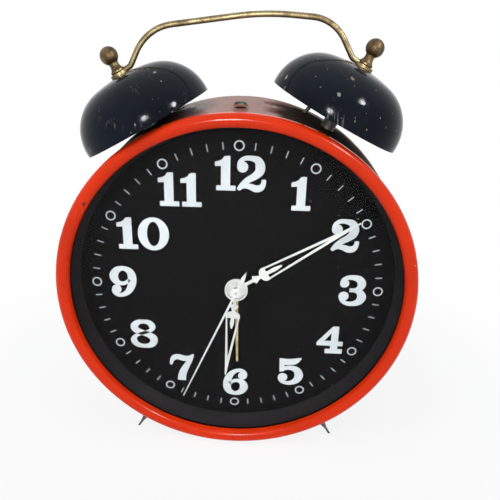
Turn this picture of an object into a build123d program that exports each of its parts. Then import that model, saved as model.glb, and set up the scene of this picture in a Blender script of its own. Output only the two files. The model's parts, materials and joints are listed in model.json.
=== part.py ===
from build123d import *
from math import asin, atan2, cos, degrees, hypot, pi, radians, sin, sqrt, tan
import os

# A wind-up alarm clock with two bells on top, in millimetres.
# The model is drawn about the middle of the dial's front face: +X to the right, +Z up,
# and Y grows towards the back. Bearings are degrees clockwise from +Z, seen from the front.
# The finished nodes are moved so that the origin is the middle of the bounding box's underside.

# ---------------------------------------------------------------- driving sizes
# Case, bezel, glass and dial
CASE_FRONT_RADIUS = 104.2
CASE_REAR_RADIUS = CASE_FRONT_RADIUS + 2.1
CASE_WALL = 1.0
CASE_FRONT_Y = -13.0
CASE_REAR_Y = 52.0
CASE_EDGE_ROLL = 1.5
CASE_LIP_WIDTH = 7.0
TOP_HOLE_RADIUS = 3.3
TOP_HOLE_Y = 7.0
BEZEL_RADIUS = CASE_FRONT_RADIUS + 0.8
BEZEL_INNER_RADIUS = BEZEL_RADIUS - 7.4
BEZEL_CROWN_Y = -18.6
BEZEL_SKIRT = 1.6
GLASS_RADIUS = BEZEL_INNER_RADIUS + 2.4
GLASS_THICKNESS = 2.0
DIAL_RADIUS = CASE_FRONT_RADIUS - 5.2
DIAL_THICKNESS = 0.8
DIAL_FOOT_RADIUS = 1.2
DIAL_FOOT_CIRCLE = 60.0
DIAL_FOOT_BEARINGS = (40, 200, 262)
REHAUT_INNER_RADIUS = DIAL_RADIUS - 4.0

# Back cover
COVER_THICKNESS = 1.0
COVER_RADIUS = CASE_REAR_RADIUS - 2.8
COVER_PAN_RADIUS = COVER_RADIUS - 15.5
COVER_PAN_STEP = 2.0
COVER_SCREW_CIRCLE = COVER_RADIUS - 3.0
COVER_SCREW_BEARINGS = (60, 180, 300)

# Bells, their posts and the carrying handle
BELL_Y = 16.5
BELL_RADIUS = 38.8
BELL_HEIGHT = 29.2
BELL_WALL = 1.2
BELL_RIM_STRAIGHT = 1.3
BELL_SHOULDER_RADIUS = 26.5
LEFT_BELL_TILT = 29.5
LEFT_BELL_SEAT = CASE_FRONT_RADIUS + 3.2
RIGHT_BELL_TILT = 27.5
RIGHT_BELL_SEAT = CASE_FRONT_RADIUS + 8.7
POST_RADIUS = 2.0
POST_TAIL = 5.0
SLEEVE_RADIUS = 4.0
SLEEVE_TOP_GAP = 0.06
TAB_REACH = 2.0
TAB_RADIUS = 5.2
TAB_THICKNESS = 1.6
ROD_RADIUS = 1.6
FINIAL_BALL_RADIUS = 5.0
FINIAL_BALL_HEIGHT = 9.9
FINIAL_COLLAR_RADIUS = 4.1
FINIAL_COLLAR_HEIGHT = 1.4
FINIAL_COLLAR_BEVEL = 0.6
FINIAL_NECK_RADIUS = 2.7
FINIAL_BORE_DEPTH = 7.0
HANDLE_LEFT_RISE = (16.0, 23.3)
HANDLE_CROWN_RISE = (12.3, 28.6)
HANDLE_RIGHT_RISE = (-17.5, 22.6)
HANDLE_BENDS = (5, 26, 150, 22, 5)

# Front feet
FOOT_BEARING = 148.7
FOOT_Y = -3.0
FOOT_FLARE_RADIUS = 6.5
FOOT_TIP_RADIUS = 1.2
FOOT_STUD_RADIUS = 2.0
FOOT_TAIL = 4.6

# Movement frame
PLATE_RADIUS = 66.0
PLATE_THICKNESS = 1.5
FRONT_PLATE_Y = 10.0
BACK_PLATE_Y = 41.0
PILLAR_RADIUS = 3.0
PILLAR_NECK_RADIUS = 2.0
PILLAR_CIRCLE = 60.0
PILLAR_BEARINGS = (15, 70, 165, 235)
SCREW_RADIUS = 1.5
SCREW_HEAD_RADIUS = 3.0
SCREW_HEAD_HEIGHT = 1.8
SCREW_DEPTH = 6.0
SCREW_SLOT = 0.8
NUT_ACROSS_FLATS = 7.0
NUT_HEIGHT = 2.4
NUT_CORNER_DROP = 0.14
NUT_ROOM = 1.2
PILLAR_SHOULDER = 0.8
PILLAR_SPIGOT = 0.3

# Running fits
FIT = 0.05
SIDE_PLAY = 0.3
SEAT_GAP = 0.02
PIVOT_OVERHANG = 0.3
PIPE_OVERHANG = 0.2
CUT_DEPTH = 8.0

# Arbors, pipes and winding work
CENTRE_TUBE = 1.8
CENTRE_BORE = 0.8 + FIT
CANNON_TUBE = 2.6
HOUR_PIPE = 3.4
ALARM_PIPE = 4.2
SECOND_ARBOR = 0.8
WINDING_BODY = 3.0
WINDING_NOSE = 2.0
WINDING_TAIL = 2.5
SETTING_RADIUS = 1.5
REGULATOR_BUSH = 3.0
REGULATOR_PIN = 1.0
WHEEL_SEAT = 1.5
THIN_BODY = 1.2
PIVOT_RADIUS = 0.6
CLICK_DISTANCE = 12.0
CLICK_STUD = 1.0
RATCHET_RADIUS = 8.0
RATCHET_TEETH = 18
RATCHET_TOOTH = 1.4
CLICK_BEARING = 42.0
CLICK_CLEARANCE = 0.9
CLICK_ROOT, CLICK_TIP = 4.4, 1.0

# Springs
TIME_SPRING_RADIUS, TIME_SPRING_LEAF = 25.0, 0.5
ALARM_SPRING_RADIUS, ALARM_SPRING_LEAF = 21.5, 0.45
HAIRSPRING_INNER, HAIRSPRING_OUTER, HAIRSPRING_LEAF = 2.2, 9.0, 0.2
RELEASE_SPRING_ROOT, RELEASE_SPRING_TIP, RELEASE_SPRING_LEAF = (58.0, 285.0), (34.0, 262.0), 0.5

# Going train: teeth and modules
GREAT_TEETH, CENTRE_PINION_TEETH, GREAT_MODULE = 72, 12, 0.9
CENTRE_TEETH, THIRD_PINION_TEETH, CENTRE_MODULE = 64, 8, 0.75
THIRD_TEETH, FOURTH_PINION_TEETH = 60, 8
FOURTH_TEETH, ESCAPE_PINION_TEETH, FOURTH_MODULE = 64, 8, 0.75
ESCAPE_TEETH = 15
ESCAPE_RADIUS = 12.0

# Motion work
CANNON_TEETH, MINUTE_TEETH, MOTION_MODULE = 14, 42, 0.9643
MINUTE_PINION_TEETH, HOUR_TEETH = 12, 48
ALARM_SET_TEETH, ALARM_WHEEL_TEETH, ALARM_SET_MODULE = 10, 70, 0.7

# Alarm train
ALARM_GREAT_TEETH, ALARM_PINION_TEETH, ALARM_GREAT_MODULE = 60, 8, 0.8
ALARM_SECOND_TEETH, ALARM_ESCAPE_PINION_TEETH, ALARM_SECOND_MODULE = 48, 8, 0.7
ALARM_ESCAPE_TEETH = 18
ALARM_ESCAPE_RADIUS = 9.0

# Tooth shape, in modules; widths are shares of the tooth pitch
ADDENDUM = 0.9
DEDENDUM = 1.3
WHEEL_TOOTH_SHARE = 0.34
PINION_TOOTH_SHARE = 0.28
TIP_TAPER = 0.45
WHEEL_RIM = 1.8
WHEEL_SPOKE = 2.4
WHEEL_HUB = 5.0
WINDING_WHEEL_HUB = 13.5
ROOT_FLARE = 0.35

# Hands
SECOND_LENGTH, SECOND_TAIL, SECOND_BEARING = 82.0, 15.2, 203.5
MINUTE_LENGTH, MINUTE_BEARING = 83.0, 57.6
HOUR_LENGTH, HOUR_BEARING = 62.8, 185.6
MINUTE_SHOULDER, MINUTE_WIDTH = 20.2, 8.2
MINUTE_HUB, MINUTE_HUB_DISH, MINUTE_HUB_RIM = 6.9, 5.9, 1.6
HOUR_SHOULDER, HOUR_WIDTH, HOUR_HUB = 19.5, 8.4, 6.0
SECOND_HUB, SECOND_SOCKET, SECOND_SOCKET_DEPTH = 3.0, 1.6, 3.2
SECOND_ROOT, SECOND_TIP, SECOND_DIAMOND = 1.3, 0.6, 2.6
ALARM_HAND_ROOT, ALARM_HAND_TIP, ALARM_HAND_HUB = 2.2, 1.2, 5.6
ALARM_HAND_LENGTH, ALARM_HAND_BEARING = 52.7, 178.6
HAND_THICKNESS = 0.5
SECOND_HAND_Y = -9.6
MINUTE_HAND_Y = -4.4
HOUR_HAND_Y = -2.9
ALARM_HAND_Y = -1.5

# Keys and knobs on the back
KEY_HUB_RADIUS = 4.5
KEY_HUB_LENGTH = 8.0
KEY_WING_SPAN = 34.0
KEY_WING_DEPTH = 17.0
KEY_WING_THICKNESS = 2.0
KEY_GAP = 2.5
KEY_SINK = 4.0
KEY_WAIST = 5.0
KEY_HORN = 4.0
KEY_NOTCH_DEPTH = 5.5
KEY_NOTCH_HALF = 2.6
KEY_WALL = 2.0
TIME_KEY_BEARING, ALARM_KEY_BEARING = 35.0, 80.0
KNOB_RADIUS = 8.0
KNOB_LENGTH = 9.0
KNOB_GROOVES = 24
KNOB_GROOVE_RADIUS = 0.8
KNOB_GROOVE_OUT = 0.35
KNOB_LIP = 1.5
STOP_ROD_RADIUS = 1.5
STOP_ROD_PLACE = (-17.6, 72.9)
STOP_ROD_FRONT_Y = 41.5
STOP_BUTTON_RADIUS = 4.0
STOP_BUTTON_HEIGHT = 5.0
STOP_BUTTON_GAP = 1.5
STOP_BUSH_WALL = 2.0
STOP_BUSH_DEPTH = 4.0

# Hammer
HAMMER_PIVOT = (0.0, 56.0)
HAMMER_Y = 38.0
HAMMER_SWING = 4.0
HAMMER_ELBOW_OFFSET = 10.0
HAMMER_ELBOW_RISE = 3.5
HAMMER_HEAD_RADIUS = 3.5
HAMMER_WIRE_RADIUS = 1.2
STRIKE_GAP = 0.8
STRIKE_HEIGHT = 6.0
HAMMER_HUB = 3.2
HAMMER_HUB_HALF = 2.4
HAMMER_SLOT_DEPTH = 14.0
VERGE_SPREAD = 38.0
VERGE_HUB = 2.4
VERGE_PALLET_REACH, VERGE_ELBOW_REACH = 1.4, 3.4
VERGE_ROOT, VERGE_MIDDLE, VERGE_TIP = 2.4, 1.6, 0.8

# Balance and regulator
BALANCE_RADIUS = 14.0
PALLET_DISTANCE = 15.0
BALANCE_DISTANCE = 17.0
IMPULSE_RADIUS = 3.0
IMPULSE_PIN = 0.4
BALANCE_RIM = 2.0
BALANCE_ARM = 2.4
BALANCE_HUB = 3.0
ROLLER_EDGE = 0.7
PALLET_PIN = 0.4
PALLET_PIN_CLEARANCE = 0.9
PALLET_SPREAD = 24.0
PALLET_HUB = 2.4
PALLET_ARM, PALLET_ARM_TIP = 2.2, 1.6
FORK_WAIST_GAP, FORK_TINE_GAP, FORK_SPREAD = 2.8, 1.6, 5.0
FORK_ARM, TINE_ROOT, TINE_TIP = 2.4, 1.2, 0.8
REGULATOR_REACH = 20.0
REGULATOR_SWING = 12.0
REGULATOR_BEARING = 20.0
REGULATOR_LEVER_ROOT, REGULATOR_LEVER_TIP = 3.4, 2.6
REGULATOR_RING = 2.0
REGULATOR_PIN_OUT = 2.5


# ---------------------------------------------------------------- shapes
def polar(centre, distance, bearing):
    """A point at a distance and bearing from another, in the dial's plane."""
    angle = radians(bearing)
    return (centre[0] + distance * sin(angle), centre[1] + distance * cos(angle))


def bearing_to(start, end):
    """The bearing from one point to another."""
    return degrees(atan2(end[0] - start[0], end[1] - start[1]))


def distance(start, end):
    """How far one point is from another."""
    return hypot(end[0] - start[0], end[1] - start[1])


def turned(points, place=(0, 0)):
    """A closed outline of (radius, y) points, turned about the Y axis through a place."""
    outline = make_face(Polyline(*points, close=True))
    return Pos(place[0], 0, place[1]) * revolve(outline, Axis.Y)


def disc(radius, y0, y1, place=(0, 0), bore=0):
    """A round bar or washer along Y between two levels."""
    solid = Cylinder(radius, y1 - y0)
    if bore:
        solid -= Cylinder(bore, y1 - y0)
    return Pos(place[0], (y0 + y1) / 2, place[1]) * Rot(90, 0, 0) * solid


def plate(sketch, y0, y1):
    """A sketch whose x and y are the dial's X and Z, given a thickness along Y."""
    return Pos(0, y1, 0) * extrude(Plane.XZ * sketch, amount=y1 - y0)


def spot(radius, place):
    """A filled circle at a place, as a sketch."""
    return Pos(place[0], place[1]) * Circle(radius)


def bar(start, end, start_width, end_width):
    """A bar between two points with round ends, as a sketch."""
    bearing = bearing_to(start, end)
    corners = [polar(start, start_width / 2, bearing + 90), polar(end, end_width / 2, bearing + 90),
               polar(end, end_width / 2, bearing - 90), polar(start, start_width / 2, bearing - 90)]
    body = make_face(Polyline(*corners, close=True))
    return body + spot(start_width / 2, start) + spot(end_width / 2, end)


def gear_outline(teeth, module, share, place, bearing):
    """A toothed outline with one tooth centred on a bearing."""
    pitch_radius = teeth * module / 2
    root = pitch_radius - DEDENDUM * module
    tip = pitch_radius + ADDENDUM * module
    half = 180 / teeth * share
    root_half = half * (1 + ROOT_FLARE * DEDENDUM * module / root)
    points = []
    for tooth in range(teeth):
        middle = bearing + 360 * tooth / teeth
        points.append(polar(place, root, middle - root_half))
        points.append(polar(place, tip, middle - half * TIP_TAPER))
        points.append(polar(place, tip, middle + half * TIP_TAPER))
        points.append(polar(place, root, middle + root_half))
    return make_face(Polyline(*points, close=True))


def wheel(teeth, module, place, bearing, y0, y1, bore, spokes=4, hub=WHEEL_HUB):
    """A crossed-out wheel with one tooth on a bearing."""
    root = teeth * module / 2 - DEDENDUM * module
    rim = root - WHEEL_RIM
    sketch = gear_outline(teeth, module, WHEEL_TOOTH_SHARE, place, bearing)
    windows = Circle(rim) - Circle(hub)
    for spoke in range(spokes):
        windows -= Rot(0, 0, 360 * spoke / spokes) * Pos(rim / 2, 0) * Rectangle(rim, WHEEL_SPOKE)
    return plate(sketch - Pos(place[0], place[1]) * windows - spot(bore, place), y0, y1)


def pinion(teeth, module, place, bearing, y0, y1):
    """The leaves of a pinion, with one gap centred on a bearing."""
    gap = bearing + 180 / teeth
    return plate(gear_outline(teeth, module, PINION_TOOTH_SHARE, place, gap), y0, y1)


def saw_wheel(teeth, radius, depth, place, y0, y1, bore, bearing=0.0):
    """A wheel with one-way teeth, as a ratchet or a pin-lever escape wheel has."""
    points = []
    for tooth in range(teeth):
        middle = bearing + 360 * tooth / teeth
        points.append(polar(place, radius, middle))
        points.append(polar(place, radius - depth, middle + 90 / teeth))
    sketch = make_face(Polyline(*points, close=True)) - spot(bore, place)
    return plate(sketch, y0, y1)


def arbor(place, steps):
    """A turned arbor from a list of (radius, start, end) steps along Y."""
    points = [(0, steps[0][1])]
    for radius, start, end in steps:
        points += [(radius, start), (radius, end)]
    points.append((0, steps[-1][2]))
    return turned(points, place)


def tube(bore, steps, place=(0, 0)):
    """A hollow arbor from a list of (radius, start, end) steps along Y."""
    points = [(bore, steps[0][1])]
    for radius, start, end in steps:
        points += [(radius, start), (radius, end)]
    points.append((bore, steps[-1][2]))
    return turned(points, place)


def group(solids):
    """Separate solids that share one node."""
    return Compound(children=[solid for item in solids for solid in item.solids()])


# ---------------------------------------------------------------- places of the arbors
def case_radius_at(y):
    """The case's outer radius at a depth: the drum widens a little to the back."""
    share = (y - CASE_FRONT_Y) / (CASE_REAR_Y - CASE_FRONT_Y)
    return CASE_FRONT_RADIUS + share * (CASE_REAR_RADIUS - CASE_FRONT_RADIUS)


def mesh_distance(wheel_teeth, pinion_teeth, module):
    return (wheel_teeth + pinion_teeth) * module / 2


GREAT_BEARING, THIRD_BEARING, ESCAPE_BEARING = 120.0, 240.0, 45.0
MINUTE_WHEEL_BEARING, ALARM_SET_BEARING = 315.0, 10.0
CENTRE = (0.0, 0.0)
THIRD_DISTANCE = mesh_distance(CENTRE_TEETH, THIRD_PINION_TEETH, CENTRE_MODULE)
THIRD_MODULE = 2 * THIRD_DISTANCE / (THIRD_TEETH + FOURTH_PINION_TEETH)
MOTION_DISTANCE = mesh_distance(MINUTE_TEETH, CANNON_TEETH, MOTION_MODULE)
HOUR_MODULE = 2 * MOTION_DISTANCE / (HOUR_TEETH + MINUTE_PINION_TEETH)
GREAT = polar(CENTRE, mesh_distance(GREAT_TEETH, CENTRE_PINION_TEETH, GREAT_MODULE), GREAT_BEARING)
THIRD = polar(CENTRE, THIRD_DISTANCE, THIRD_BEARING)
ESCAPE = polar(CENTRE, mesh_distance(FOURTH_TEETH, ESCAPE_PINION_TEETH, FOURTH_MODULE), ESCAPE_BEARING)
PALLET = polar(ESCAPE, PALLET_DISTANCE, ESCAPE_BEARING)
BALANCE = polar(PALLET, BALANCE_DISTANCE, ESCAPE_BEARING)
MINUTE = polar(CENTRE, MOTION_DISTANCE, MINUTE_WHEEL_BEARING)
ALARM_SET_DISTANCE = mesh_distance(ALARM_WHEEL_TEETH, ALARM_SET_TEETH, ALARM_SET_MODULE)
ALARM_SET = polar(CENTRE, ALARM_SET_DISTANCE, ALARM_SET_BEARING)
HAMMER = HAMMER_PIVOT
VERGE_DISTANCE = ALARM_ESCAPE_RADIUS + 4.5
ALARM_ESCAPE = polar(HAMMER, VERGE_DISTANCE, 246.0)
ALARM_SECOND_DISTANCE = mesh_distance(ALARM_SECOND_TEETH, ALARM_ESCAPE_PINION_TEETH, ALARM_SECOND_MODULE)
ALARM_SECOND = polar(ALARM_ESCAPE, ALARM_SECOND_DISTANCE, 248.0)
ALARM_GREAT_DISTANCE = mesh_distance(ALARM_GREAT_TEETH, ALARM_PINION_TEETH, ALARM_GREAT_MODULE)
ALARM_GREAT = polar(ALARM_SECOND, ALARM_GREAT_DISTANCE, 226.0)
REGULATOR_TIP = polar(BALANCE, REGULATOR_REACH, REGULATOR_BEARING)

# ---------------------------------------------------------------- levels along Y
BACK_PLATE_REAR_Y = BACK_PLATE_Y + PLATE_THICKNESS
FRONT_PLATE_REAR_Y = FRONT_PLATE_Y + PLATE_THICKNESS
COVER_REAR_Y = CASE_REAR_Y + COVER_THICKNESS
PAN_INNER_Y = CASE_REAR_Y + COVER_PAN_STEP
PAN_REAR_Y = PAN_INNER_Y + COVER_THICKNESS
KEY_Y = PAN_REAR_Y + KEY_GAP
KEY_REAR_Y = KEY_Y + KEY_HUB_LENGTH + KEY_WING_DEPTH
SPRING_Y = (14.5, 28.5)
CENTRE_WHEEL_Y = (29.2, 30.2)
CENTRE_PINION_Y = (31.2, 34.8)
GREAT_WHEEL_Y = (32.0, 34.0)
RATCHET_Y = (34.8, 36.4)
THIRD_WHEEL_Y = (36.5, 37.5)
FOURTH_PINION_Y = (35.6, 38.1)
FOURTH_WHEEL_Y = (38.7, 39.6)
ESCAPE_WHEEL_Y = (22.0, 23.0)
ALARM_SECOND_WHEEL_Y = (29.6, 30.6)
ALARM_GREAT_WHEEL_Y = (32.0, 33.6)
ALARM_ESCAPE_WHEEL_Y = (18.5, 19.5)
CANNON_Y = (6.4, 9.4)
MINUTE_WHEEL_Y = (7.0, 8.8)
HOUR_WHEEL_Y = (4.8, 5.8)
ALARM_WHEEL_Y = (2.4, 3.4)
BALANCE_WHEEL_Y = (16.0, 17.5)
ROLLER_Y = (20.0, 20.8)
IMPULSE_PIN_END_Y = 23.2
HAIRSPRING_Y = (25.0, 26.5)


# ---------------------------------------------------------------- case, glass and dial
def radial_frame(radius, bearing, y):
    """A frame on the case wall, whose Z points outwards from the dial's axis."""
    place = polar(CENTRE, radius, bearing)
    return Pos(place[0], y, place[1]) * Rot(0, bearing, 0)


def case_shell():
    """The painted drum, open in front, with a rolled edge and a narrow lip at the back."""
    roll = CASE_EDGE_ROLL
    rear = CASE_REAR_RADIUS
    slope = (CASE_REAR_RADIUS - CASE_FRONT_RADIUS) / (CASE_REAR_Y - CASE_FRONT_Y)
    edge_radius = case_radius_at(CASE_REAR_Y - roll)
    wall = CASE_WALL
    outline = [
        Line((CASE_FRONT_RADIUS, CASE_FRONT_Y), (edge_radius, CASE_REAR_Y - roll)),
        TangentArc((edge_radius, CASE_REAR_Y - roll), (edge_radius - roll, CASE_REAR_Y), tangent=(slope, 1)),
        Polyline((edge_radius - roll, CASE_REAR_Y), (rear - CASE_LIP_WIDTH, CASE_REAR_Y),
                 (rear - CASE_LIP_WIDTH, CASE_REAR_Y - wall), (edge_radius - roll, CASE_REAR_Y - wall),
                 (edge_radius - wall, CASE_REAR_Y - roll), (CASE_FRONT_RADIUS - wall, CASE_FRONT_Y),
                 (CASE_FRONT_RADIUS, CASE_FRONT_Y)),
    ]
    shell = revolve(make_face(outline), Axis.Y)
    hole = radial_frame(case_radius_at(TOP_HOLE_Y), 0, TOP_HOLE_Y) * Cylinder(TOP_HOLE_RADIUS, CUT_DEPTH)
    shell -= hole
    for tilt in (-LEFT_BELL_TILT, RIGHT_BELL_TILT):
        frame = radial_frame(case_radius_at(BELL_Y), tilt, BELL_Y)
        shell -= frame * Cylinder(POST_RADIUS + FIT, CUT_DEPTH)
    for bearing in (-FOOT_BEARING, FOOT_BEARING):
        frame = radial_frame(case_radius_at(FOOT_Y), bearing, FOOT_Y)
        shell -= frame * Cylinder(FOOT_STUD_RADIUS + FIT, CUT_DEPTH)
    for side in (-1, 1):
        bearing = bearing_to(HAMMER, hammer_elbow(side))
        reach = wall_crossing(bearing)
        half = reach * tan(radians(HAMMER_SWING)) + 2 * HAMMER_WIRE_RADIUS
        slot = Box(2 * half, 4 * HAMMER_WIRE_RADIUS, HAMMER_SLOT_DEPTH)
        place = polar(HAMMER, reach, bearing)
        shell -= Pos(place[0], HAMMER_Y, place[1]) * Rot(0, bearing, 0) * slot
    for bearing in COVER_SCREW_BEARINGS:
        place = polar(CENTRE, COVER_SCREW_CIRCLE, bearing)
        shell -= disc(SCREW_RADIUS, CASE_REAR_Y - 2, CASE_REAR_Y + 1, place)
    return shell


def wall_crossing(bearing):
    """How far from the hammer's pivot its wire crosses the case wall."""
    direction = polar(CENTRE, 1, bearing)
    along = HAMMER[0] * direction[0] + HAMMER[1] * direction[1]
    squared = HAMMER[0] ** 2 + HAMMER[1] ** 2
    return -along + sqrt(along ** 2 + case_radius_at(HAMMER_Y) ** 2 - squared)


def bezel():
    """The rolled ring round the glass, with a short skirt over the drum's front edge."""
    half = (BEZEL_RADIUS - BEZEL_INNER_RADIUS) / 2
    middle = BEZEL_INNER_RADIUS + half
    shoulder_y = BEZEL_CROWN_Y + half
    skirt_y = CASE_FRONT_Y + BEZEL_SKIRT
    skirt_bore = case_radius_at(skirt_y) + SEAT_GAP
    outline = [
        Line((BEZEL_INNER_RADIUS, CASE_FRONT_Y), (BEZEL_INNER_RADIUS, shoulder_y)),
        ThreePointArc((BEZEL_INNER_RADIUS, shoulder_y), (middle, BEZEL_CROWN_Y), (BEZEL_RADIUS, shoulder_y)),
        Polyline((BEZEL_RADIUS, shoulder_y), (BEZEL_RADIUS, skirt_y), (skirt_bore, skirt_y),
                 (skirt_bore, CASE_FRONT_Y), (BEZEL_INNER_RADIUS, CASE_FRONT_Y)),
    ]
    return revolve(make_face(outline), Axis.Y)


def crystal():
    return disc(GLASS_RADIUS, CASE_FRONT_Y, CASE_FRONT_Y + GLASS_THICKNESS)


def rehaut_ring():
    """The dark ring between the dial's edge and the glass; it also holds the dial by its rim."""
    outer = CASE_FRONT_RADIUS - CASE_WALL - 0.1
    front = CASE_FRONT_Y + GLASS_THICKNESS
    points = [(REHAUT_INNER_RADIUS, 0), (BEZEL_INNER_RADIUS, front), (outer, front),
              (outer, DIAL_THICKNESS), (DIAL_RADIUS, DIAL_THICKNESS), (DIAL_RADIUS, 0)]
    ring = turned(points)
    width = NUT_ACROSS_FLATS + 2 * NUT_ROOM
    for bearing in (-FOOT_BEARING, FOOT_BEARING):
        frame = radial_frame(DIAL_RADIUS + 0.8 + width / 2, bearing, FOOT_Y)
        ring -= frame * Pos(0, width / 2, 0) * Box(width, 2 * width, width)
    return ring


def dial():
    """The dial plate with its three riveted feet."""
    solid = disc(DIAL_RADIUS, 0, DIAL_THICKNESS, bore=ALARM_PIPE + 0.4)
    for bearing in DIAL_FOOT_BEARINGS:
        place = polar(CENTRE, DIAL_FOOT_CIRCLE, bearing)
        solid += disc(DIAL_FOOT_RADIUS, DIAL_THICKNESS, FRONT_PLATE_REAR_Y, place)
    return solid


def back_cover():
    """The pressed back, with a raised pan, a stop-rod bush and holes for everything that passes."""
    points = [(0, PAN_INNER_Y), (COVER_PAN_RADIUS - 1, PAN_INNER_Y), (COVER_PAN_RADIUS + 1, CASE_REAR_Y),
              (COVER_RADIUS, CASE_REAR_Y), (COVER_RADIUS, COVER_REAR_Y),
              (COVER_PAN_RADIUS + 1.6, COVER_REAR_Y), (COVER_PAN_RADIUS - 0.4, PAN_REAR_Y), (0, PAN_REAR_Y)]
    cover = turned(points)
    bush_front = PAN_INNER_Y - STOP_BUSH_DEPTH
    cover += disc(STOP_ROD_RADIUS + STOP_BUSH_WALL, bush_front, PAN_INNER_Y, STOP_ROD_PLACE)
    holes = [disc(STOP_ROD_RADIUS + FIT, bush_front - 1, PAN_REAR_Y + 1, STOP_ROD_PLACE)]
    for place in (GREAT, ALARM_GREAT):
        holes.append(disc(WINDING_TAIL + 0.5, PAN_INNER_Y - 1, PAN_REAR_Y + 1, place))
    for place in (MINUTE, ALARM_SET):
        holes.append(disc(SETTING_RADIUS + 0.5, PAN_INNER_Y - 1, PAN_REAR_Y + 1, place))
    for bearing in PILLAR_BEARINGS:
        place = polar(CENTRE, PILLAR_CIRCLE, bearing)
        holes.append(disc(SCREW_RADIUS, PAN_INNER_Y - 1, PAN_REAR_Y + 1, place))
    for bearing in COVER_SCREW_BEARINGS:
        place = polar(CENTRE, COVER_SCREW_CIRCLE, bearing)
        holes.append(disc(SCREW_RADIUS, CASE_REAR_Y - 1, COVER_REAR_Y + 1, place))
    slot_end = degrees(asin(1.5 * REGULATOR_PIN / REGULATOR_REACH)) + REGULATOR_SWING
    ring = Circle(REGULATOR_REACH + 1.5 * REGULATOR_PIN) - Circle(REGULATOR_REACH - 1.5 * REGULATOR_PIN)
    left = polar(CENTRE, 2 * REGULATOR_REACH, REGULATOR_BEARING - slot_end)
    right = polar(CENTRE, 2 * REGULATOR_REACH, REGULATOR_BEARING + slot_end)
    sector = make_face(Polyline(CENTRE, left, right, close=True))
    holes.append(plate(Pos(*BALANCE) * (ring & sector), PAN_INNER_Y - 1, PAN_REAR_Y + 1))
    for hole in holes:
        cover -= hole
    return cover


def case_screws():
    """Seven equal screws: four into the pillars and three through the case's lip."""
    screws = []
    for bearing in PILLAR_BEARINGS:
        place = polar(CENTRE, PILLAR_CIRCLE, bearing)
        screws.append(screw(place, PAN_REAR_Y))
    for bearing in COVER_SCREW_BEARINGS:
        screws.append(screw(polar(CENTRE, COVER_SCREW_CIRCLE, bearing), COVER_REAR_Y))
    return group(screws)


def screw(place, seat_y):
    """A cheese-head screw driven forwards, with its slot at the back."""
    solid = disc(SCREW_RADIUS, seat_y - SCREW_DEPTH, seat_y, place)
    solid += disc(SCREW_HEAD_RADIUS, seat_y, seat_y + SCREW_HEAD_HEIGHT, place)
    slot = Box(2 * SCREW_HEAD_RADIUS + 1, 2 * SCREW_SLOT, SCREW_SLOT)
    return solid - Pos(place[0], seat_y + SCREW_HEAD_HEIGHT, place[1]) * slot


# ---------------------------------------------------------------- bells, handle and feet
def bell_frame(side):
    """A frame at the middle of a bell's rim, whose Z points along the bell's post."""
    tilt, seat = (RIGHT_BELL_TILT, RIGHT_BELL_SEAT) if side > 0 else (-LEFT_BELL_TILT, LEFT_BELL_SEAT)
    return radial_frame(seat, tilt, BELL_Y)


def bell_crown_radius():
    """The radius that makes the crown tangent to the shoulder at the bell's height."""
    inset = BELL_RADIUS - BELL_SHOULDER_RADIUS
    rise = BELL_HEIGHT - BELL_RIM_STRAIGHT
    return (inset ** 2 + rise ** 2 - BELL_SHOULDER_RADIUS ** 2) / (2 * (rise - BELL_SHOULDER_RADIUS))


def bell_outline(inset):
    """One skin of the bell from rim to top, moved in from the outer skin by a wall."""
    crown = bell_crown_radius()
    shoulder = (BELL_RADIUS - BELL_SHOULDER_RADIUS, BELL_RIM_STRAIGHT)
    centre_z = BELL_HEIGHT - crown
    angle = atan2(shoulder[1] - centre_z, shoulder[0])
    join = ((crown - inset) * cos(angle), centre_z + (crown - inset) * sin(angle))
    half = (angle + pi / 2) / 2
    on_crown = ((crown - inset) * cos(half), centre_z + (crown - inset) * sin(half))
    turn = angle / 2
    small = BELL_SHOULDER_RADIUS - inset
    on_shoulder = (shoulder[0] + small * cos(turn), shoulder[1] + small * sin(turn))
    start = (BELL_RADIUS - inset, BELL_RIM_STRAIGHT)
    top = (0, BELL_HEIGHT - inset)
    return [Line((BELL_RADIUS - inset, 0), start), ThreePointArc(start, on_shoulder, join),
            ThreePointArc(join, on_crown, top)]


def bell(side):
    """A pressed steel bell with a hole for its post."""
    edges = []
    for line in bell_outline(0) + bell_outline(BELL_WALL):
        edges.append(Plane.XZ * line)
    edges.append(Plane.XZ * Line((BELL_RADIUS - BELL_WALL, 0), (BELL_RADIUS, 0)))
    edges.append(Plane.XZ * Line((0, BELL_HEIGHT - BELL_WALL), (0, BELL_HEIGHT)))
    shell = revolve(make_face(edges), Axis.Z)
    shell -= Pos(0, 0, BELL_HEIGHT) * Cylinder(POST_RADIUS, CUT_DEPTH)
    return bell_frame(side) * shell


def post_foot(side):
    """How far below a bell's rim the case wall's outside lies, along the bell's post."""
    seat = RIGHT_BELL_SEAT if side > 0 else LEFT_BELL_SEAT
    return seat - case_radius_at(BELL_Y + SLEEVE_RADIUS)


def bell_posts():
    """Two studs that run from inside the case, through the bells, into the finials."""
    posts = []
    for side in (-1, 1):
        low = -post_foot(side) - CASE_WALL - POST_TAIL
        high = BELL_HEIGHT + TAB_THICKNESS + FINIAL_BORE_DEPTH
        post = Cylinder(POST_RADIUS, high - low)
        posts.append(bell_frame(side) * Pos(0, 0, (low + high) / 2) * post)
    return group(posts)


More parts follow.
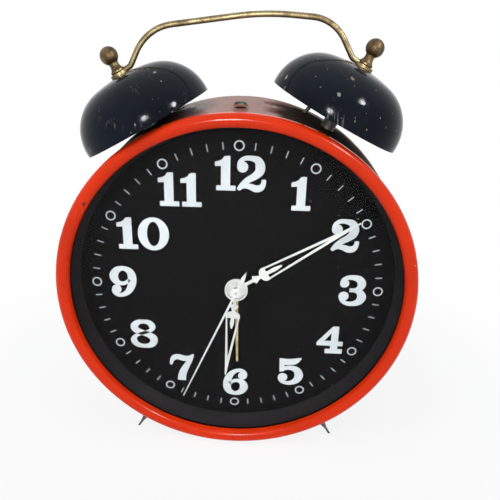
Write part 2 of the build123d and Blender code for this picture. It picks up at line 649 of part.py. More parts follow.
def bell_sleeves():
    """Two spacers that stand each bell off the case."""
    inner_crown = bell_crown_radius() - BELL_WALL
    crown_drop = inner_crown - sqrt(inner_crown ** 2 - SLEEVE_RADIUS ** 2)
    sleeves = []
    for side in (-1, 1):
        low = SEAT_GAP - post_foot(side)
        high = BELL_HEIGHT - BELL_WALL - crown_drop - SLEEVE_TOP_GAP
        tube_solid = Cylinder(SLEEVE_RADIUS, high - low) - Cylinder(POST_RADIUS, high - low)
        sleeves.append(bell_frame(side) * Pos(0, 0, (low + high) / 2) * tube_solid)
    return group(sleeves)


def hex_nut(frame, bore):
    """A hexagon nut that hangs down from a frame's origin."""
    blank = extrude(RegularPolygon(NUT_ACROSS_FLATS / 2, 6, major_radius=False), amount=-NUT_HEIGHT)
    return frame * (blank - Pos(0, 0, -NUT_HEIGHT / 2) * Cylinder(bore, NUT_HEIGHT))


def hex_nuts():
    """Eight equal nuts: two on the bell posts, two on the feet and four on the pillars."""
    nuts = []
    for tilt in (-LEFT_BELL_TILT, RIGHT_BELL_TILT):
        inner = case_radius_at(BELL_Y - NUT_ACROSS_FLATS / 2) - CASE_WALL - NUT_CORNER_DROP
        nuts.append(hex_nut(radial_frame(inner, tilt, BELL_Y), POST_RADIUS))
    for bearing in (-FOOT_BEARING, FOOT_BEARING):
        inner = case_radius_at(FOOT_Y - NUT_ACROSS_FLATS / 2) - CASE_WALL - NUT_CORNER_DROP
        nuts.append(hex_nut(radial_frame(inner, bearing, FOOT_Y), FOOT_STUD_RADIUS))
    for bearing in PILLAR_BEARINGS:
        place = polar(CENTRE, PILLAR_CIRCLE, bearing)
        nuts.append(hex_nut(Pos(place[0], FRONT_PLATE_Y, place[1]) * Rot(-90, 0, 0), PILLAR_NECK_RADIUS))
    return group(nuts)


def finial(side):
    """A ball on a narrow neck over a collar, bored to screw on to a bell's post."""
    ball = FINIAL_BALL_RADIUS
    neck = FINIAL_NECK_RADIUS
    collar = FINIAL_COLLAR_RADIUS
    rim, bevel = FINIAL_COLLAR_HEIGHT, FINIAL_COLLAR_BEVEL
    middle = FINIAL_BALL_HEIGHT
    low = middle - sqrt(ball ** 2 - neck ** 2)
    outline = [
        Polyline((0, 0), (collar - bevel, 0), (collar, bevel), (collar, rim)),
        ThreePointArc((collar, rim), (neck + 0.2 * (collar - neck), 2 * rim), (neck, low)),
        ThreePointArc((neck, low), (ball, middle), (0, middle + ball)),
        Line((0, middle + ball), (0, 0)),
    ]
    edges = [Plane.XZ * line for line in outline]
    solid = revolve(make_face(edges), Axis.Z)
    solid -= Pos(0, 0, FINIAL_BORE_DEPTH / 2) * Cylinder(POST_RADIUS, FINIAL_BORE_DEPTH)
    return bell_frame(side) * Pos(0, 0, BELL_HEIGHT + TAB_THICKNESS) * solid


def finials():
    return group([finial(-1), finial(1)])


def tab_centre(side):
    """The middle of the handle's flattened end, on top of a bell."""
    tilt, seat = (RIGHT_BELL_TILT, RIGHT_BELL_SEAT) if side > 0 else (-LEFT_BELL_TILT, LEFT_BELL_SEAT)
    return polar(CENTRE, seat + BELL_HEIGHT + TAB_THICKNESS / 2, tilt)


def carry_handle():
    """A bent brass rod with both ends flattened into eyes that the finials clamp."""
    left, right = tab_centre(-1), tab_centre(1)
    left_in = polar(left, TAB_RADIUS - TAB_REACH, 90 - LEFT_BELL_TILT)
    left_out = polar(left, TAB_RADIUS + TAB_REACH, 90 - LEFT_BELL_TILT)
    right_in = polar(right, TAB_RADIUS - TAB_REACH, RIGHT_BELL_TILT - 90)
    right_out = polar(right, TAB_RADIUS + TAB_REACH, RIGHT_BELL_TILT - 90)
    corner_left = (left[0] + HANDLE_LEFT_RISE[0], left[1] + HANDLE_LEFT_RISE[1])
    corner_right = (right[0] + HANDLE_RIGHT_RISE[0], right[1] + HANDLE_RIGHT_RISE[1])
    crown = ((left[0] + right[0]) / 2 + HANDLE_CROWN_RISE[0], (left[1] + right[1]) / 2 + HANDLE_CROWN_RISE[1])
    points = [left_in, left_out, corner_left, crown, corner_right, right_out, right_in]
    lift = (ROD_RADIUS - TAB_THICKNESS / 2) * 0.9
    path = FilletPolyline(*[(x, BELL_Y, z + lift) for x, z in points], radius=HANDLE_BENDS)
    rod = sweep(Plane(path @ 0, z_dir=path % 0) * Circle(ROD_RADIUS), path=path)
    for side in (-1, 1):
        frame = bell_frame(side)
        below = frame * Pos(0, 0, BELL_HEIGHT - 5) * Box(60, 30, 10)
        eye = frame * Pos(0, 0, BELL_HEIGHT + TAB_THICKNESS / 2) * Cylinder(TAB_RADIUS, TAB_THICKNESS)
        above = frame * Pos(0, 0, BELL_HEIGHT + TAB_THICKNESS + 10) * Cylinder(FINIAL_COLLAR_RADIUS + 0.1, 20)
        hole = frame * Pos(0, 0, BELL_HEIGHT) * Cylinder(POST_RADIUS, 10)
        rod = rod - below - above + eye - hole
    return rod


def front_feet():
    """Two spun feet that run out from a wide flare to a thin tip, cut level at the ground."""
    feet = []
    wall = case_radius_at(FOOT_Y + FOOT_FLARE_RADIUS) + SEAT_GAP
    for bearing in (-FOOT_BEARING, FOOT_BEARING):
        reach = (GROUND + 4) / abs(cos(radians(FOOT_BEARING))) - wall
        flare, tip = FOOT_FLARE_RADIUS, FOOT_TIP_RADIUS
        mid = (tip + 0.20 * (flare - tip), 0.36 * reach)
        outline = [
            Line((0, 0), (flare, 0)),
            Line((flare, 0), (flare, 0.5)),
            ThreePointArc((flare, 0.5), mid, (tip, reach)),
            Line((tip, reach), (0, reach)),
            Line((0, reach), (0, 0)),
        ]
        spike = revolve(make_face([Plane.XZ * line for line in outline]), Axis.Z)
        spike += Pos(0, 0, -FOOT_TAIL / 2) * Cylinder(FOOT_STUD_RADIUS, FOOT_TAIL)
        spike = radial_frame(wall, bearing, FOOT_Y) * spike
        feet.append(spike - Pos(0, FOOT_Y, -GROUND - 25) * Box(400, 60, 50))
    return group(feet)


# ---------------------------------------------------------------- movement frame
def pivot_holes():
    """Each arbor's place, with its bearing radius in the front and in the back plate."""
    return [
        (CENTRE, CENTRE_TUBE, PIVOT_RADIUS),
        (THIRD, PIVOT_RADIUS, PIVOT_RADIUS),
        (ESCAPE, PIVOT_RADIUS, PIVOT_RADIUS),
        (PALLET, PIVOT_RADIUS, PIVOT_RADIUS),
        (BALANCE, PIVOT_RADIUS, PIVOT_RADIUS),
        (GREAT, WINDING_NOSE, WINDING_TAIL),
        (ALARM_GREAT, WINDING_NOSE, WINDING_TAIL),
        (ALARM_SECOND, PIVOT_RADIUS, PIVOT_RADIUS),
        (ALARM_ESCAPE, PIVOT_RADIUS, PIVOT_RADIUS),
        (HAMMER, PIVOT_RADIUS, PIVOT_RADIUS),
        (MINUTE, SETTING_RADIUS, SETTING_RADIUS),
        (ALARM_SET, SETTING_RADIUS, SETTING_RADIUS),
    ]


def front_plate():
    solid = disc(PLATE_RADIUS, FRONT_PLATE_Y, FRONT_PLATE_REAR_Y)
    for place, radius, _ in pivot_holes():
        solid -= disc(radius + FIT, FRONT_PLATE_Y - 1, FRONT_PLATE_REAR_Y + 1, place)
    for bearing in PILLAR_BEARINGS:
        place = polar(CENTRE, PILLAR_CIRCLE, bearing)
        solid -= disc(PILLAR_NECK_RADIUS, FRONT_PLATE_Y - 1, FRONT_PLATE_REAR_Y + 1, place)
    for bearing in DIAL_FOOT_BEARINGS:
        place = polar(CENTRE, DIAL_FOOT_CIRCLE, bearing)
        solid -= disc(DIAL_FOOT_RADIUS, FRONT_PLATE_Y - 1, FRONT_PLATE_REAR_Y + 1, place)
    return solid


def back_plate():
    """The rear plate, with the raised bush that the regulator turns on."""
    solid = disc(PLATE_RADIUS, BACK_PLATE_Y, BACK_PLATE_REAR_Y)
    solid += disc(REGULATOR_BUSH, BACK_PLATE_REAR_Y, BACK_PLATE_REAR_Y + 2, BALANCE)
    for place, _, radius in pivot_holes():
        solid -= disc(radius + FIT, BACK_PLATE_Y - 1, BACK_PLATE_REAR_Y + 3, place)
    for bearing in PILLAR_BEARINGS:
        place = polar(CENTRE, PILLAR_CIRCLE, bearing)
        solid -= disc(PILLAR_NECK_RADIUS + PILLAR_SPIGOT, BACK_PLATE_Y - 1, BACK_PLATE_REAR_Y + 1, place)
    return solid


def pillars():
    """Four pillars that space the plates and carry the movement on the back cover."""
    solids = []
    for bearing in PILLAR_BEARINGS:
        place = polar(CENTRE, PILLAR_CIRCLE, bearing)
        neck, full = PILLAR_NECK_RADIUS, PILLAR_RADIUS
        steps = [(neck, FRONT_PLATE_Y - NUT_HEIGHT - PILLAR_SHOULDER, FRONT_PLATE_REAR_Y),
                 (full, FRONT_PLATE_REAR_Y, BACK_PLATE_Y),
                 (neck + PILLAR_SPIGOT, BACK_PLATE_Y, BACK_PLATE_REAR_Y),
                 (full + PILLAR_SHOULDER, BACK_PLATE_REAR_Y, PAN_INNER_Y)]
        hole = disc(SCREW_RADIUS, PAN_INNER_Y - SCREW_DEPTH + COVER_THICKNESS, PAN_INNER_Y + 1, place)
        solids.append(arbor(place, steps) - hole)
    return group(solids)


# ---------------------------------------------------------------- springs
def coil(place, inner, outer, turns, thickness, y0, y1):
    """A flat spiral made of half circles about two centres."""
    pitch = (outer - inner) / turns
    sides = {1: [], -1: []}
    for half in range(2 * turns):
        centre_x = pitch / 2 if half % 2 else 0
        radius = inner + half * pitch / 2
        for side in (1, -1):
            arc = CenterArc((centre_x, 0), radius + side * thickness / 2, 180 * half, 180)
            sides[side].append(arc)
    first_in = inner - thickness / 2
    first_out = inner + thickness / 2
    last = inner + turns * pitch
    ends = [Line((first_in, 0), (first_out, 0)), Line((last - thickness / 2, 0), (last + thickness / 2, 0))]
    strip = make_face(sides[1] + sides[-1] + ends)
    return plate(Pos(*place) * strip, y0, y1)


def time_mainspring():
    return coil(GREAT, WINDING_BODY + 1, TIME_SPRING_RADIUS, 7, TIME_SPRING_LEAF, *SPRING_Y)


def alarm_mainspring():
    return coil(ALARM_GREAT, WINDING_BODY + 1, ALARM_SPRING_RADIUS, 6, ALARM_SPRING_LEAF, *SPRING_Y)


def hairspring():
    return coil(BALANCE, HAIRSPRING_INNER, HAIRSPRING_OUTER, 6, HAIRSPRING_LEAF, *HAIRSPRING_Y)


def alarm_release_spring():
    """A leaf on the front plate that lifts when the alarm is due."""
    start = polar(CENTRE, *RELEASE_SPRING_ROOT)
    end = polar(CENTRE, *RELEASE_SPRING_TIP)
    return plate(bar(start, end, 5, 3), FRONT_PLATE_Y - RELEASE_SPRING_LEAF, FRONT_PLATE_Y)


def train_arbor(place, seats, body=THIN_BODY):
    """An arbor between the plates, with fine pivots at both ends and thicker seats."""
    front = FRONT_PLATE_REAR_Y + SIDE_PLAY
    rear = BACK_PLATE_Y - SIDE_PLAY
    steps = [(PIVOT_RADIUS, FRONT_PLATE_Y - PIVOT_OVERHANG, front)]
    level = front
    for start, end in seats:
        if start > level:
            steps.append((body, level, start))
        steps.append((WHEEL_SEAT, start, end))
        level = end
    if rear > level:
        steps.append((body, level, rear))
    steps.append((PIVOT_RADIUS, rear, BACK_PLATE_REAR_Y + PIVOT_OVERHANG))
    return arbor(place, steps)


# ---------------------------------------------------------------- going train
def fourth_arbor():
    """The long centre-seconds arbor, with the pinion that the third wheel drives."""
    tail_start = CENTRE_PINION_Y[1] + 0.6
    rear = BACK_PLATE_Y - SIDE_PLAY
    steps = [(SECOND_ARBOR, SECOND_HAND_Y - PIPE_OVERHANG, tail_start), (WHEEL_SEAT, tail_start, rear),
             (PIVOT_RADIUS, rear, BACK_PLATE_REAR_Y + PIVOT_OVERHANG)]
    leaves = pinion(FOURTH_PINION_TEETH, THIRD_MODULE, CENTRE, THIRD_BEARING, *FOURTH_PINION_Y)
    return arbor(CENTRE, steps) + leaves


def fourth_wheel():
    return wheel(FOURTH_TEETH, FOURTH_MODULE, CENTRE, ESCAPE_BEARING, *FOURTH_WHEEL_Y, WHEEL_SEAT)


def third_arbor():
    toward_centre = bearing_to(THIRD, CENTRE)
    seats = [(CENTRE_WHEEL_Y[0] - 1, CENTRE_WHEEL_Y[1] + 1), THIRD_WHEEL_Y]
    body = train_arbor(THIRD, seats)
    leaves = (CENTRE_WHEEL_Y[0] - 1, CENTRE_WHEEL_Y[1] + 1)
    return body + pinion(THIRD_PINION_TEETH, CENTRE_MODULE, THIRD, toward_centre, *leaves)


def third_wheel():
    toward_centre = bearing_to(THIRD, CENTRE)
    return wheel(THIRD_TEETH, THIRD_MODULE, THIRD, toward_centre, *THIRD_WHEEL_Y, WHEEL_SEAT)


def centre_arbor():
    """The hollow centre arbor that turns once an hour."""
    seat = CENTRE_TUBE + 0.7
    steps = [(CENTRE_TUBE, MINUTE_HAND_Y + 0.6, CENTRE_WHEEL_Y[0] - 0.6),
             (seat, CENTRE_WHEEL_Y[0] - 0.6, CENTRE_PINION_Y[1])]
    leaves = pinion(CENTRE_PINION_TEETH, GREAT_MODULE, CENTRE, GREAT_BEARING, *CENTRE_PINION_Y)
    bore = disc(CENTRE_BORE, CENTRE_PINION_Y[0] - 1, CENTRE_PINION_Y[1] + 1)
    return tube(CENTRE_BORE, steps) + (leaves - bore)


def centre_wheel():
    return wheel(CENTRE_TEETH, CENTRE_MODULE, CENTRE, THIRD_BEARING, *CENTRE_WHEEL_Y, CENTRE_TUBE + 0.7)


def winding_wheel(teeth, module, place, bearing, level):
    """A great wheel that turns on its winding arbor and carries the stud for its click."""
    body = wheel(teeth, module, place, bearing, *level, WINDING_BODY + FIT, spokes=5, hub=WINDING_WHEEL_HUB)
    stud_place = polar(place, CLICK_DISTANCE, bearing + 90)
    return body + disc(CLICK_STUD, level[1], RATCHET_Y[1] + 0.4, stud_place)


def click(place, bearing):
    """A click whose beak stands just clear of the ratchet's teeth."""
    pivot = polar(place, CLICK_DISTANCE, bearing + 90)
    beak = polar(place, RATCHET_RADIUS + CLICK_CLEARANCE, bearing + CLICK_BEARING)
    sketch = bar(pivot, beak, CLICK_ROOT, CLICK_TIP) - spot(CLICK_STUD + FIT, pivot)
    return plate(sketch, *RATCHET_Y)


def time_great_wheel():
    toward_centre = bearing_to(GREAT, CENTRE)
    return winding_wheel(GREAT_TEETH, GREAT_MODULE, GREAT, toward_centre, GREAT_WHEEL_Y)


def alarm_great_wheel():
    toward_second = bearing_to(ALARM_GREAT, ALARM_SECOND)
    return winding_wheel(ALARM_GREAT_TEETH, ALARM_GREAT_MODULE, ALARM_GREAT, toward_second,
                         ALARM_GREAT_WHEEL_Y)


def time_click():
    return click(GREAT, bearing_to(GREAT, CENTRE))


def alarm_click():
    return click(ALARM_GREAT, bearing_to(ALARM_GREAT, ALARM_SECOND))


def winding_arbor(place):
    """A stout arbor that the mainspring hooks on, passing out through the back cover."""
    front = FRONT_PLATE_REAR_Y + SIDE_PLAY
    rear = BACK_PLATE_Y - SIDE_PLAY
    steps = [(WINDING_NOSE, FRONT_PLATE_Y - 0.5, front), (WINDING_BODY, front, rear),
             (WINDING_TAIL, rear, KEY_Y + KEY_HUB_LENGTH - KEY_WALL)]
    return arbor(place, steps)


def ratchet(place):
    return saw_wheel(RATCHET_TEETH, RATCHET_RADIUS, RATCHET_TOOTH, place, *RATCHET_Y, WINDING_BODY)


def winding_key(place, bearing):
    """A butterfly key screwed on to the winding arbor."""
    hub_end = KEY_Y + KEY_HUB_LENGTH
    hub = disc(KEY_HUB_RADIUS, KEY_Y, hub_end, place)
    half = KEY_WING_SPAN / 2
    depth = KEY_WING_DEPTH
    hub_half, waist, horn = KEY_HUB_RADIUS, KEY_WAIST, KEY_WAIST + KEY_HORN
    notch, notch_half = depth - KEY_NOTCH_DEPTH, KEY_NOTCH_HALF
    notch_side = depth - 0.4 * KEY_NOTCH_DEPTH
    outline = [
        Polyline((-hub_half, -KEY_SINK), (hub_half, -KEY_SINK), (waist, 1)),
        ThreePointArc((waist, 1), (half, depth * 0.45), (horn, depth)),
        ThreePointArc((horn, depth), (notch_half, notch_side), (0, notch)),
        ThreePointArc((0, notch), (-notch_half, notch_side), (-horn, depth)),
        ThreePointArc((-horn, depth), (-half, depth * 0.45), (-waist, 1)),
        Line((-waist, 1), (-hub_half, -KEY_SINK)),
    ]
    wings = extrude(make_face(outline), amount=KEY_WING_THICKNESS / 2, both=True)
    frame = Pos(place[0], hub_end, place[1]) * Rot(0, bearing, 0)
    solid = hub + frame * wings
    return solid - disc(WINDING_TAIL, KEY_Y - 1, hub_end - KEY_WALL, place)


def escape_arbor():
    seats = [(ESCAPE_WHEEL_Y[0], ESCAPE_WHEEL_Y[1]), (FOURTH_WHEEL_Y[0] - 1, FOURTH_WHEEL_Y[1] + 0.8)]
    leaves = pinion(ESCAPE_PINION_TEETH, FOURTH_MODULE, ESCAPE, bearing_to(ESCAPE, CENTRE), *seats[1])
    return train_arbor(ESCAPE, seats) + leaves


def escape_wheel():
    return saw_wheel(ESCAPE_TEETH, ESCAPE_RADIUS, 2.6, ESCAPE, *ESCAPE_WHEEL_Y, WHEEL_SEAT)


def pallet_lever():
    """The lever with its two pallet pins and the fork that the balance would knock."""
    y0, y1 = ESCAPE_WHEEL_Y[0] + 1.4, ESCAPE_WHEEL_Y[1] + 1.8
    toward_escape = bearing_to(PALLET, ESCAPE)
    toward_balance = bearing_to(PALLET, BALANCE)
    pin_circle = ESCAPE_RADIUS + PALLET_PIN + PALLET_PIN_CLEARANCE
    solid = train_arbor(PALLET, [(y0, y1)], body=0.8)
    sketch = spot(PALLET_HUB, PALLET)
    for side in (-1, 1):
        pin = polar(ESCAPE, pin_circle, ESCAPE_BEARING + PALLET_SPREAD * side)
        sketch += bar(PALLET, pin, PALLET_ARM, PALLET_ARM_TIP)
        solid += disc(PALLET_PIN, ESCAPE_WHEEL_Y[0] - SIDE_PLAY, y0, pin)
    fork = BALANCE_DISTANCE - IMPULSE_RADIUS
    waist = polar(PALLET, fork - FORK_WAIST_GAP, toward_balance)
    sketch += bar(PALLET, waist, FORK_ARM, FORK_ARM)
    for side in (-1, 1):
        tine = polar(PALLET, fork - FORK_TINE_GAP, toward_balance + FORK_SPREAD * side)
        sketch += bar(waist, tine, TINE_ROOT, TINE_TIP)
    lever = plate(sketch, y0, y1)
    return solid + lever


def balance_staff():
    """The staff with its roller and impulse pin."""
    pin = polar(BALANCE, IMPULSE_RADIUS, bearing_to(BALANCE, PALLET))
    solid = train_arbor(BALANCE, [BALANCE_WHEEL_Y])
    solid += disc(IMPULSE_RADIUS + ROLLER_EDGE, *ROLLER_Y, BALANCE)
    return solid + disc(IMPULSE_PIN, ROLLER_Y[1], IMPULSE_PIN_END_Y, pin)


def balance_wheel():
    sketch = Circle(BALANCE_RADIUS) - Circle(BALANCE_RADIUS - BALANCE_RIM)
    sketch += Rectangle(2 * BALANCE_RADIUS - BALANCE_RIM, BALANCE_ARM) + Circle(BALANCE_HUB)
    return plate(Pos(*BALANCE) * sketch - spot(WHEEL_SEAT, BALANCE), *BALANCE_WHEEL_Y)


def regulator_lever():
    """A lever on the back plate's bush whose pin shows through the back cover."""
    y0, y1 = BACK_PLATE_REAR_Y + 0.3, BACK_PLATE_REAR_Y + 1.3
    sketch = spot(REGULATOR_BUSH + REGULATOR_RING, BALANCE)
    sketch += bar(BALANCE, REGULATOR_TIP, REGULATOR_LEVER_ROOT, REGULATOR_LEVER_TIP)
    lever = plate(sketch - spot(REGULATOR_BUSH + FIT, BALANCE), y0, y1)
    return lever + disc(REGULATOR_PIN, y1, PAN_REAR_Y + REGULATOR_PIN_OUT, REGULATOR_TIP)


# ---------------------------------------------------------------- motion work and hands
def cannon_pinion():
    """The tube that carries the minute hand, a slip fit on the centre arbor."""
    leaves = pinion(CANNON_TEETH, MOTION_MODULE, CENTRE, MINUTE_WHEEL_BEARING, *CANNON_Y)
    bore = disc(CENTRE_TUBE + FIT, CANNON_Y[0] - 1, CANNON_Y[1] + 1)
    pipe = tube(CENTRE_TUBE + FIT, [(CANNON_TUBE, MINUTE_HAND_Y - PIPE_OVERHANG, CANNON_Y[1])])
    return pipe + (leaves - bore)


def minute_wheel():
    """The minute wheel and its pinion on the arbor that the setting knob turns."""
    toward_centre = bearing_to(MINUTE, CENTRE)
    front = ALARM_WHEEL_Y[1] + 0.6
    rear = KEY_Y + KNOB_LENGTH - KEY_WALL
    sketch = gear_outline(MINUTE_TEETH, MOTION_MODULE, WHEEL_TOOTH_SHARE, MINUTE, toward_centre)
    solid = plate(sketch, *MINUTE_WHEEL_Y) + disc(SETTING_RADIUS, front, rear, MINUTE)
    leaves = (HOUR_WHEEL_Y[0] - 0.4, MINUTE_WHEEL_Y[0])
    return solid + pinion(MINUTE_PINION_TEETH, HOUR_MODULE, MINUTE, toward_centre, *leaves)


def hour_wheel():
    """The hour wheel and the pipe that carries the hour hand."""
    gear = wheel(HOUR_TEETH, HOUR_MODULE, CENTRE, MINUTE_WHEEL_BEARING, *HOUR_WHEEL_Y, CANNON_TUBE + FIT)
    pipe = tube(CANNON_TUBE + FIT, [(HOUR_PIPE, HOUR_HAND_Y - PIPE_OVERHANG, HOUR_WHEEL_Y[1])])
    return pipe + gear


def alarm_wheel():
    """The alarm wheel and the pipe that carries the alarm hand."""
    level = ALARM_WHEEL_Y
    gear = wheel(ALARM_WHEEL_TEETH, ALARM_SET_MODULE, CENTRE, ALARM_SET_BEARING, *level, HOUR_PIPE + FIT)
    pipe = tube(HOUR_PIPE + FIT, [(ALARM_PIPE, ALARM_HAND_Y - PIPE_OVERHANG, level[1])])
    return pipe + gear


def alarm_set_arbor():
    leaves = (ALARM_WHEEL_Y[0] - 0.5, ALARM_WHEEL_Y[1] + 0.5)
    toward_centre = bearing_to(ALARM_SET, CENTRE)
    solid = disc(SETTING_RADIUS, leaves[0], KEY_Y + KNOB_LENGTH - KEY_WALL, ALARM_SET)
    return solid + pinion(ALARM_SET_TEETH, ALARM_SET_MODULE, ALARM_SET, toward_centre, *leaves)


def knob(place):
    """A grooved knob screwed on to a setting arbor."""
    solid = disc(KNOB_RADIUS, KEY_Y, KEY_Y + KNOB_LENGTH, place)
    groove = None
    for turn in range(KNOB_GROOVES):
        spot_place = polar(place, KNOB_RADIUS + KNOB_GROOVE_OUT, 360 * turn / KNOB_GROOVES)
        cut = disc(KNOB_GROOVE_RADIUS, KEY_Y + KNOB_LIP, KEY_Y + KNOB_LENGTH - 1, spot_place)
        groove = cut if groove is None else groove + cut
    return solid - groove - disc(SETTING_RADIUS, KEY_Y - 1, KEY_Y + KNOB_LENGTH - KEY_WALL, place)


def hand(sketch, hub_radius, bore, bearing, y):
    """A flat hand drawn pointing up, with its hub, turned to its bearing."""
    flat = Rot(0, 0, -bearing) * (sketch + Circle(hub_radius)) - Circle(bore)
    return plate(flat, y, y + HAND_THICKNESS)


def taper(root_width, tip_width, length):
    """A straight blade that narrows from the hand's middle to its tip."""
    root, tip = root_width / 2, tip_width / 2
    return make_face(Polyline((-root, 0), (root, 0), (tip, length), (-tip, length), close=True))


def skeleton_blade(length, shoulder, width):
    """A pierced hand: a barbed neck, a rounded shoulder, two rails and a long point."""
    rail = 0.9
    neck = 1.9
    barb_y = shoulder - 7.6
    barb_half = 2.8
    tongue = shoulder + 0.13 * length
    swell = shoulder + 0.08 * length
    close_y = shoulder + 0.70 * (length - shoulder)
    half = width / 2
    tip_half = 0.35
    side = [(neck / 2, 0), (neck / 2, barb_y - 0.7), (barb_half, barb_y), (barb_half / 2, barb_y + 2.4),
            (neck / 2, shoulder - 3.4)]
    right = Polyline(*side)
    left = Polyline(*[(-x, y) for x, y in side])
    widest = shoulder + 1.5
    below = (half * 0.86, shoulder - 2.2)
    swell_right = ThreePointArc(side[-1], below, (half, widest))
    swell_left = ThreePointArc((-side[-1][0], side[-1][1]), (-below[0], below[1]), (-half, widest))
    blade_right = Line((half, widest), (tip_half, length))
    blade_left = Line((-half, widest), (-tip_half, length))
    outline = [right, swell_right, blade_right, Line((tip_half, length), (-tip_half, length)), blade_left,
               swell_left, left, Line((-neck / 2, 0), (neck / 2, 0))]
    blade = make_face(outline)
    inner = half - rail
    window = make_face(Polyline((-inner, shoulder + 1.2), (inner, shoulder + 1.2), (0, close_y), close=True))
    leaf = [(-0.9, shoulder - 1), (0.9, shoulder - 1), (1.25, swell),
            (0.55, tongue), (-0.55, tongue), (-1.25, swell)]
    return blade - window + make_face(Polyline(*leaf, close=True)) + Pos(0, tongue) * Circle(0.55)


def minute_hand():
    blade = skeleton_blade(MINUTE_LENGTH, MINUTE_SHOULDER, MINUTE_WIDTH)
    flat = hand(blade, MINUTE_HUB, CANNON_TUBE, MINUTE_BEARING, MINUTE_HAND_Y)
    rim = disc(MINUTE_HUB, MINUTE_HAND_Y - MINUTE_HUB_RIM, MINUTE_HAND_Y, bore=MINUTE_HUB_DISH)
    return flat + rim


def hour_hand():
    blade = skeleton_blade(HOUR_LENGTH, HOUR_SHOULDER, HOUR_WIDTH)
    return hand(blade, HOUR_HUB, HOUR_PIPE, HOUR_BEARING, HOUR_HAND_Y)


def second_hand():
    """A thin tapering stick with a pointed tail and a small round cap over the arbor's end."""
    stick = taper(SECOND_ROOT, SECOND_TIP, SECOND_LENGTH)
    root, waist, widest = SECOND_ROOT / 2, SECOND_ROOT / 3, SECOND_DIAMOND / 2
    neck, shoulder = 0.53 * SECOND_TAIL, 0.66 * SECOND_TAIL
    tail = make_face(Polyline((-root, 0), (-waist, -neck), (-widest, -shoulder), (0, -SECOND_TAIL),
                              (widest, -shoulder), (waist, -neck), (root, 0), close=True))
    flat = hand(stick + tail, SECOND_HUB, SECOND_ARBOR, SECOND_BEARING, SECOND_HAND_Y)
    front, rear = SECOND_HAND_Y + HAND_THICKNESS, SECOND_HAND_Y + SECOND_SOCKET_DEPTH
    socket = disc(SECOND_SOCKET, front, rear, bore=SECOND_ARBOR)
    return flat + socket


def alarm_hand():
    stick = taper(ALARM_HAND_ROOT, ALARM_HAND_TIP, ALARM_HAND_LENGTH)
    return hand(stick, ALARM_HAND_HUB, ALARM_PIPE, ALARM_HAND_BEARING, ALARM_HAND_Y)


# ---------------------------------------------------------------- alarm train and hammer
def alarm_second_wheel():
    """The alarm train's second arbor, with its pinion and wheel."""
    toward_great = bearing_to(ALARM_SECOND, ALARM_GREAT)
    toward_escape = bearing_to(ALARM_SECOND, ALARM_ESCAPE)
    leaves = (ALARM_GREAT_WHEEL_Y[0] - 0.6, ALARM_GREAT_WHEEL_Y[1] + 0.6)
    solid = train_arbor(ALARM_SECOND, [(ALARM_SECOND_WHEEL_Y[0], leaves[1])])
    solid += pinion(ALARM_PINION_TEETH, ALARM_GREAT_MODULE, ALARM_SECOND, toward_great, *leaves)
    gear = wheel(ALARM_SECOND_TEETH, ALARM_SECOND_MODULE, ALARM_SECOND, toward_escape,
                 *ALARM_SECOND_WHEEL_Y, WHEEL_SEAT - 0.2)
    return solid + gear


def alarm_escape_wheel():
    """The alarm train's last arbor, with its pinion and saw-toothed wheel."""
    toward_second = bearing_to(ALARM_ESCAPE, ALARM_SECOND)
    leaves = (ALARM_SECOND_WHEEL_Y[0] - 0.8, ALARM_SECOND_WHEEL_Y[1] + 0.8)
    solid = train_arbor(ALARM_ESCAPE, [ALARM_ESCAPE_WHEEL_Y, leaves])
    solid += pinion(ALARM_ESCAPE_PINION_TEETH, ALARM_SECOND_MODULE, ALARM_ESCAPE, toward_second, *leaves)
    saw = saw_wheel(ALARM_ESCAPE_TEETH, ALARM_ESCAPE_RADIUS, 2.0, ALARM_ESCAPE,
                    *ALARM_ESCAPE_WHEEL_Y, WHEEL_SEAT - 0.2)
    return solid + saw


def hammer_head_place(side):
    """Where a head rests inside its bell: a swing's travel and a gap away from the wall."""
    tilt, seat = (RIGHT_BELL_TILT, RIGHT_BELL_SEAT) if side > 0 else (-LEFT_BELL_TILT, LEFT_BELL_SEAT)
    rise = STRIKE_HEIGHT - BELL_RIM_STRAIGHT
    shoulder = BELL_SHOULDER_RADIUS - BELL_WALL
    wall = BELL_RADIUS - BELL_SHOULDER_RADIUS + sqrt(shoulder ** 2 - rise ** 2)
    reach = wall - HAMMER_HEAD_RADIUS - STRIKE_GAP
    middle = polar(CENTRE, seat + STRIKE_HEIGHT, tilt)
    struck = polar(middle, sqrt(reach ** 2 - (HAMMER_Y - BELL_Y) ** 2), tilt - 90 * side)
    return polar(HAMMER, distance(HAMMER, struck), bearing_to(HAMMER, struck) + side * HAMMER_SWING)


def hammer_elbow(side):
    """Where a hammer wire bends, just inside its bell's mouth and close behind the post."""
    tilt, seat = (RIGHT_BELL_TILT, RIGHT_BELL_SEAT) if side > 0 else (-LEFT_BELL_TILT, LEFT_BELL_SEAT)
    middle = polar(CENTRE, seat + HAMMER_ELBOW_RISE, tilt)
    return polar(middle, HAMMER_ELBOW_OFFSET, tilt - 90 * side)


def rod_between(start, end, radius, y):
    """A round rod between two points in one plane."""
    bearing = bearing_to(start, end)
    middle = ((start[0] + end[0]) / 2, (start[1] + end[1]) / 2)
    return Pos(middle[0], y, middle[1]) * Rot(0, bearing, 0) * Cylinder(radius, distance(start, end))


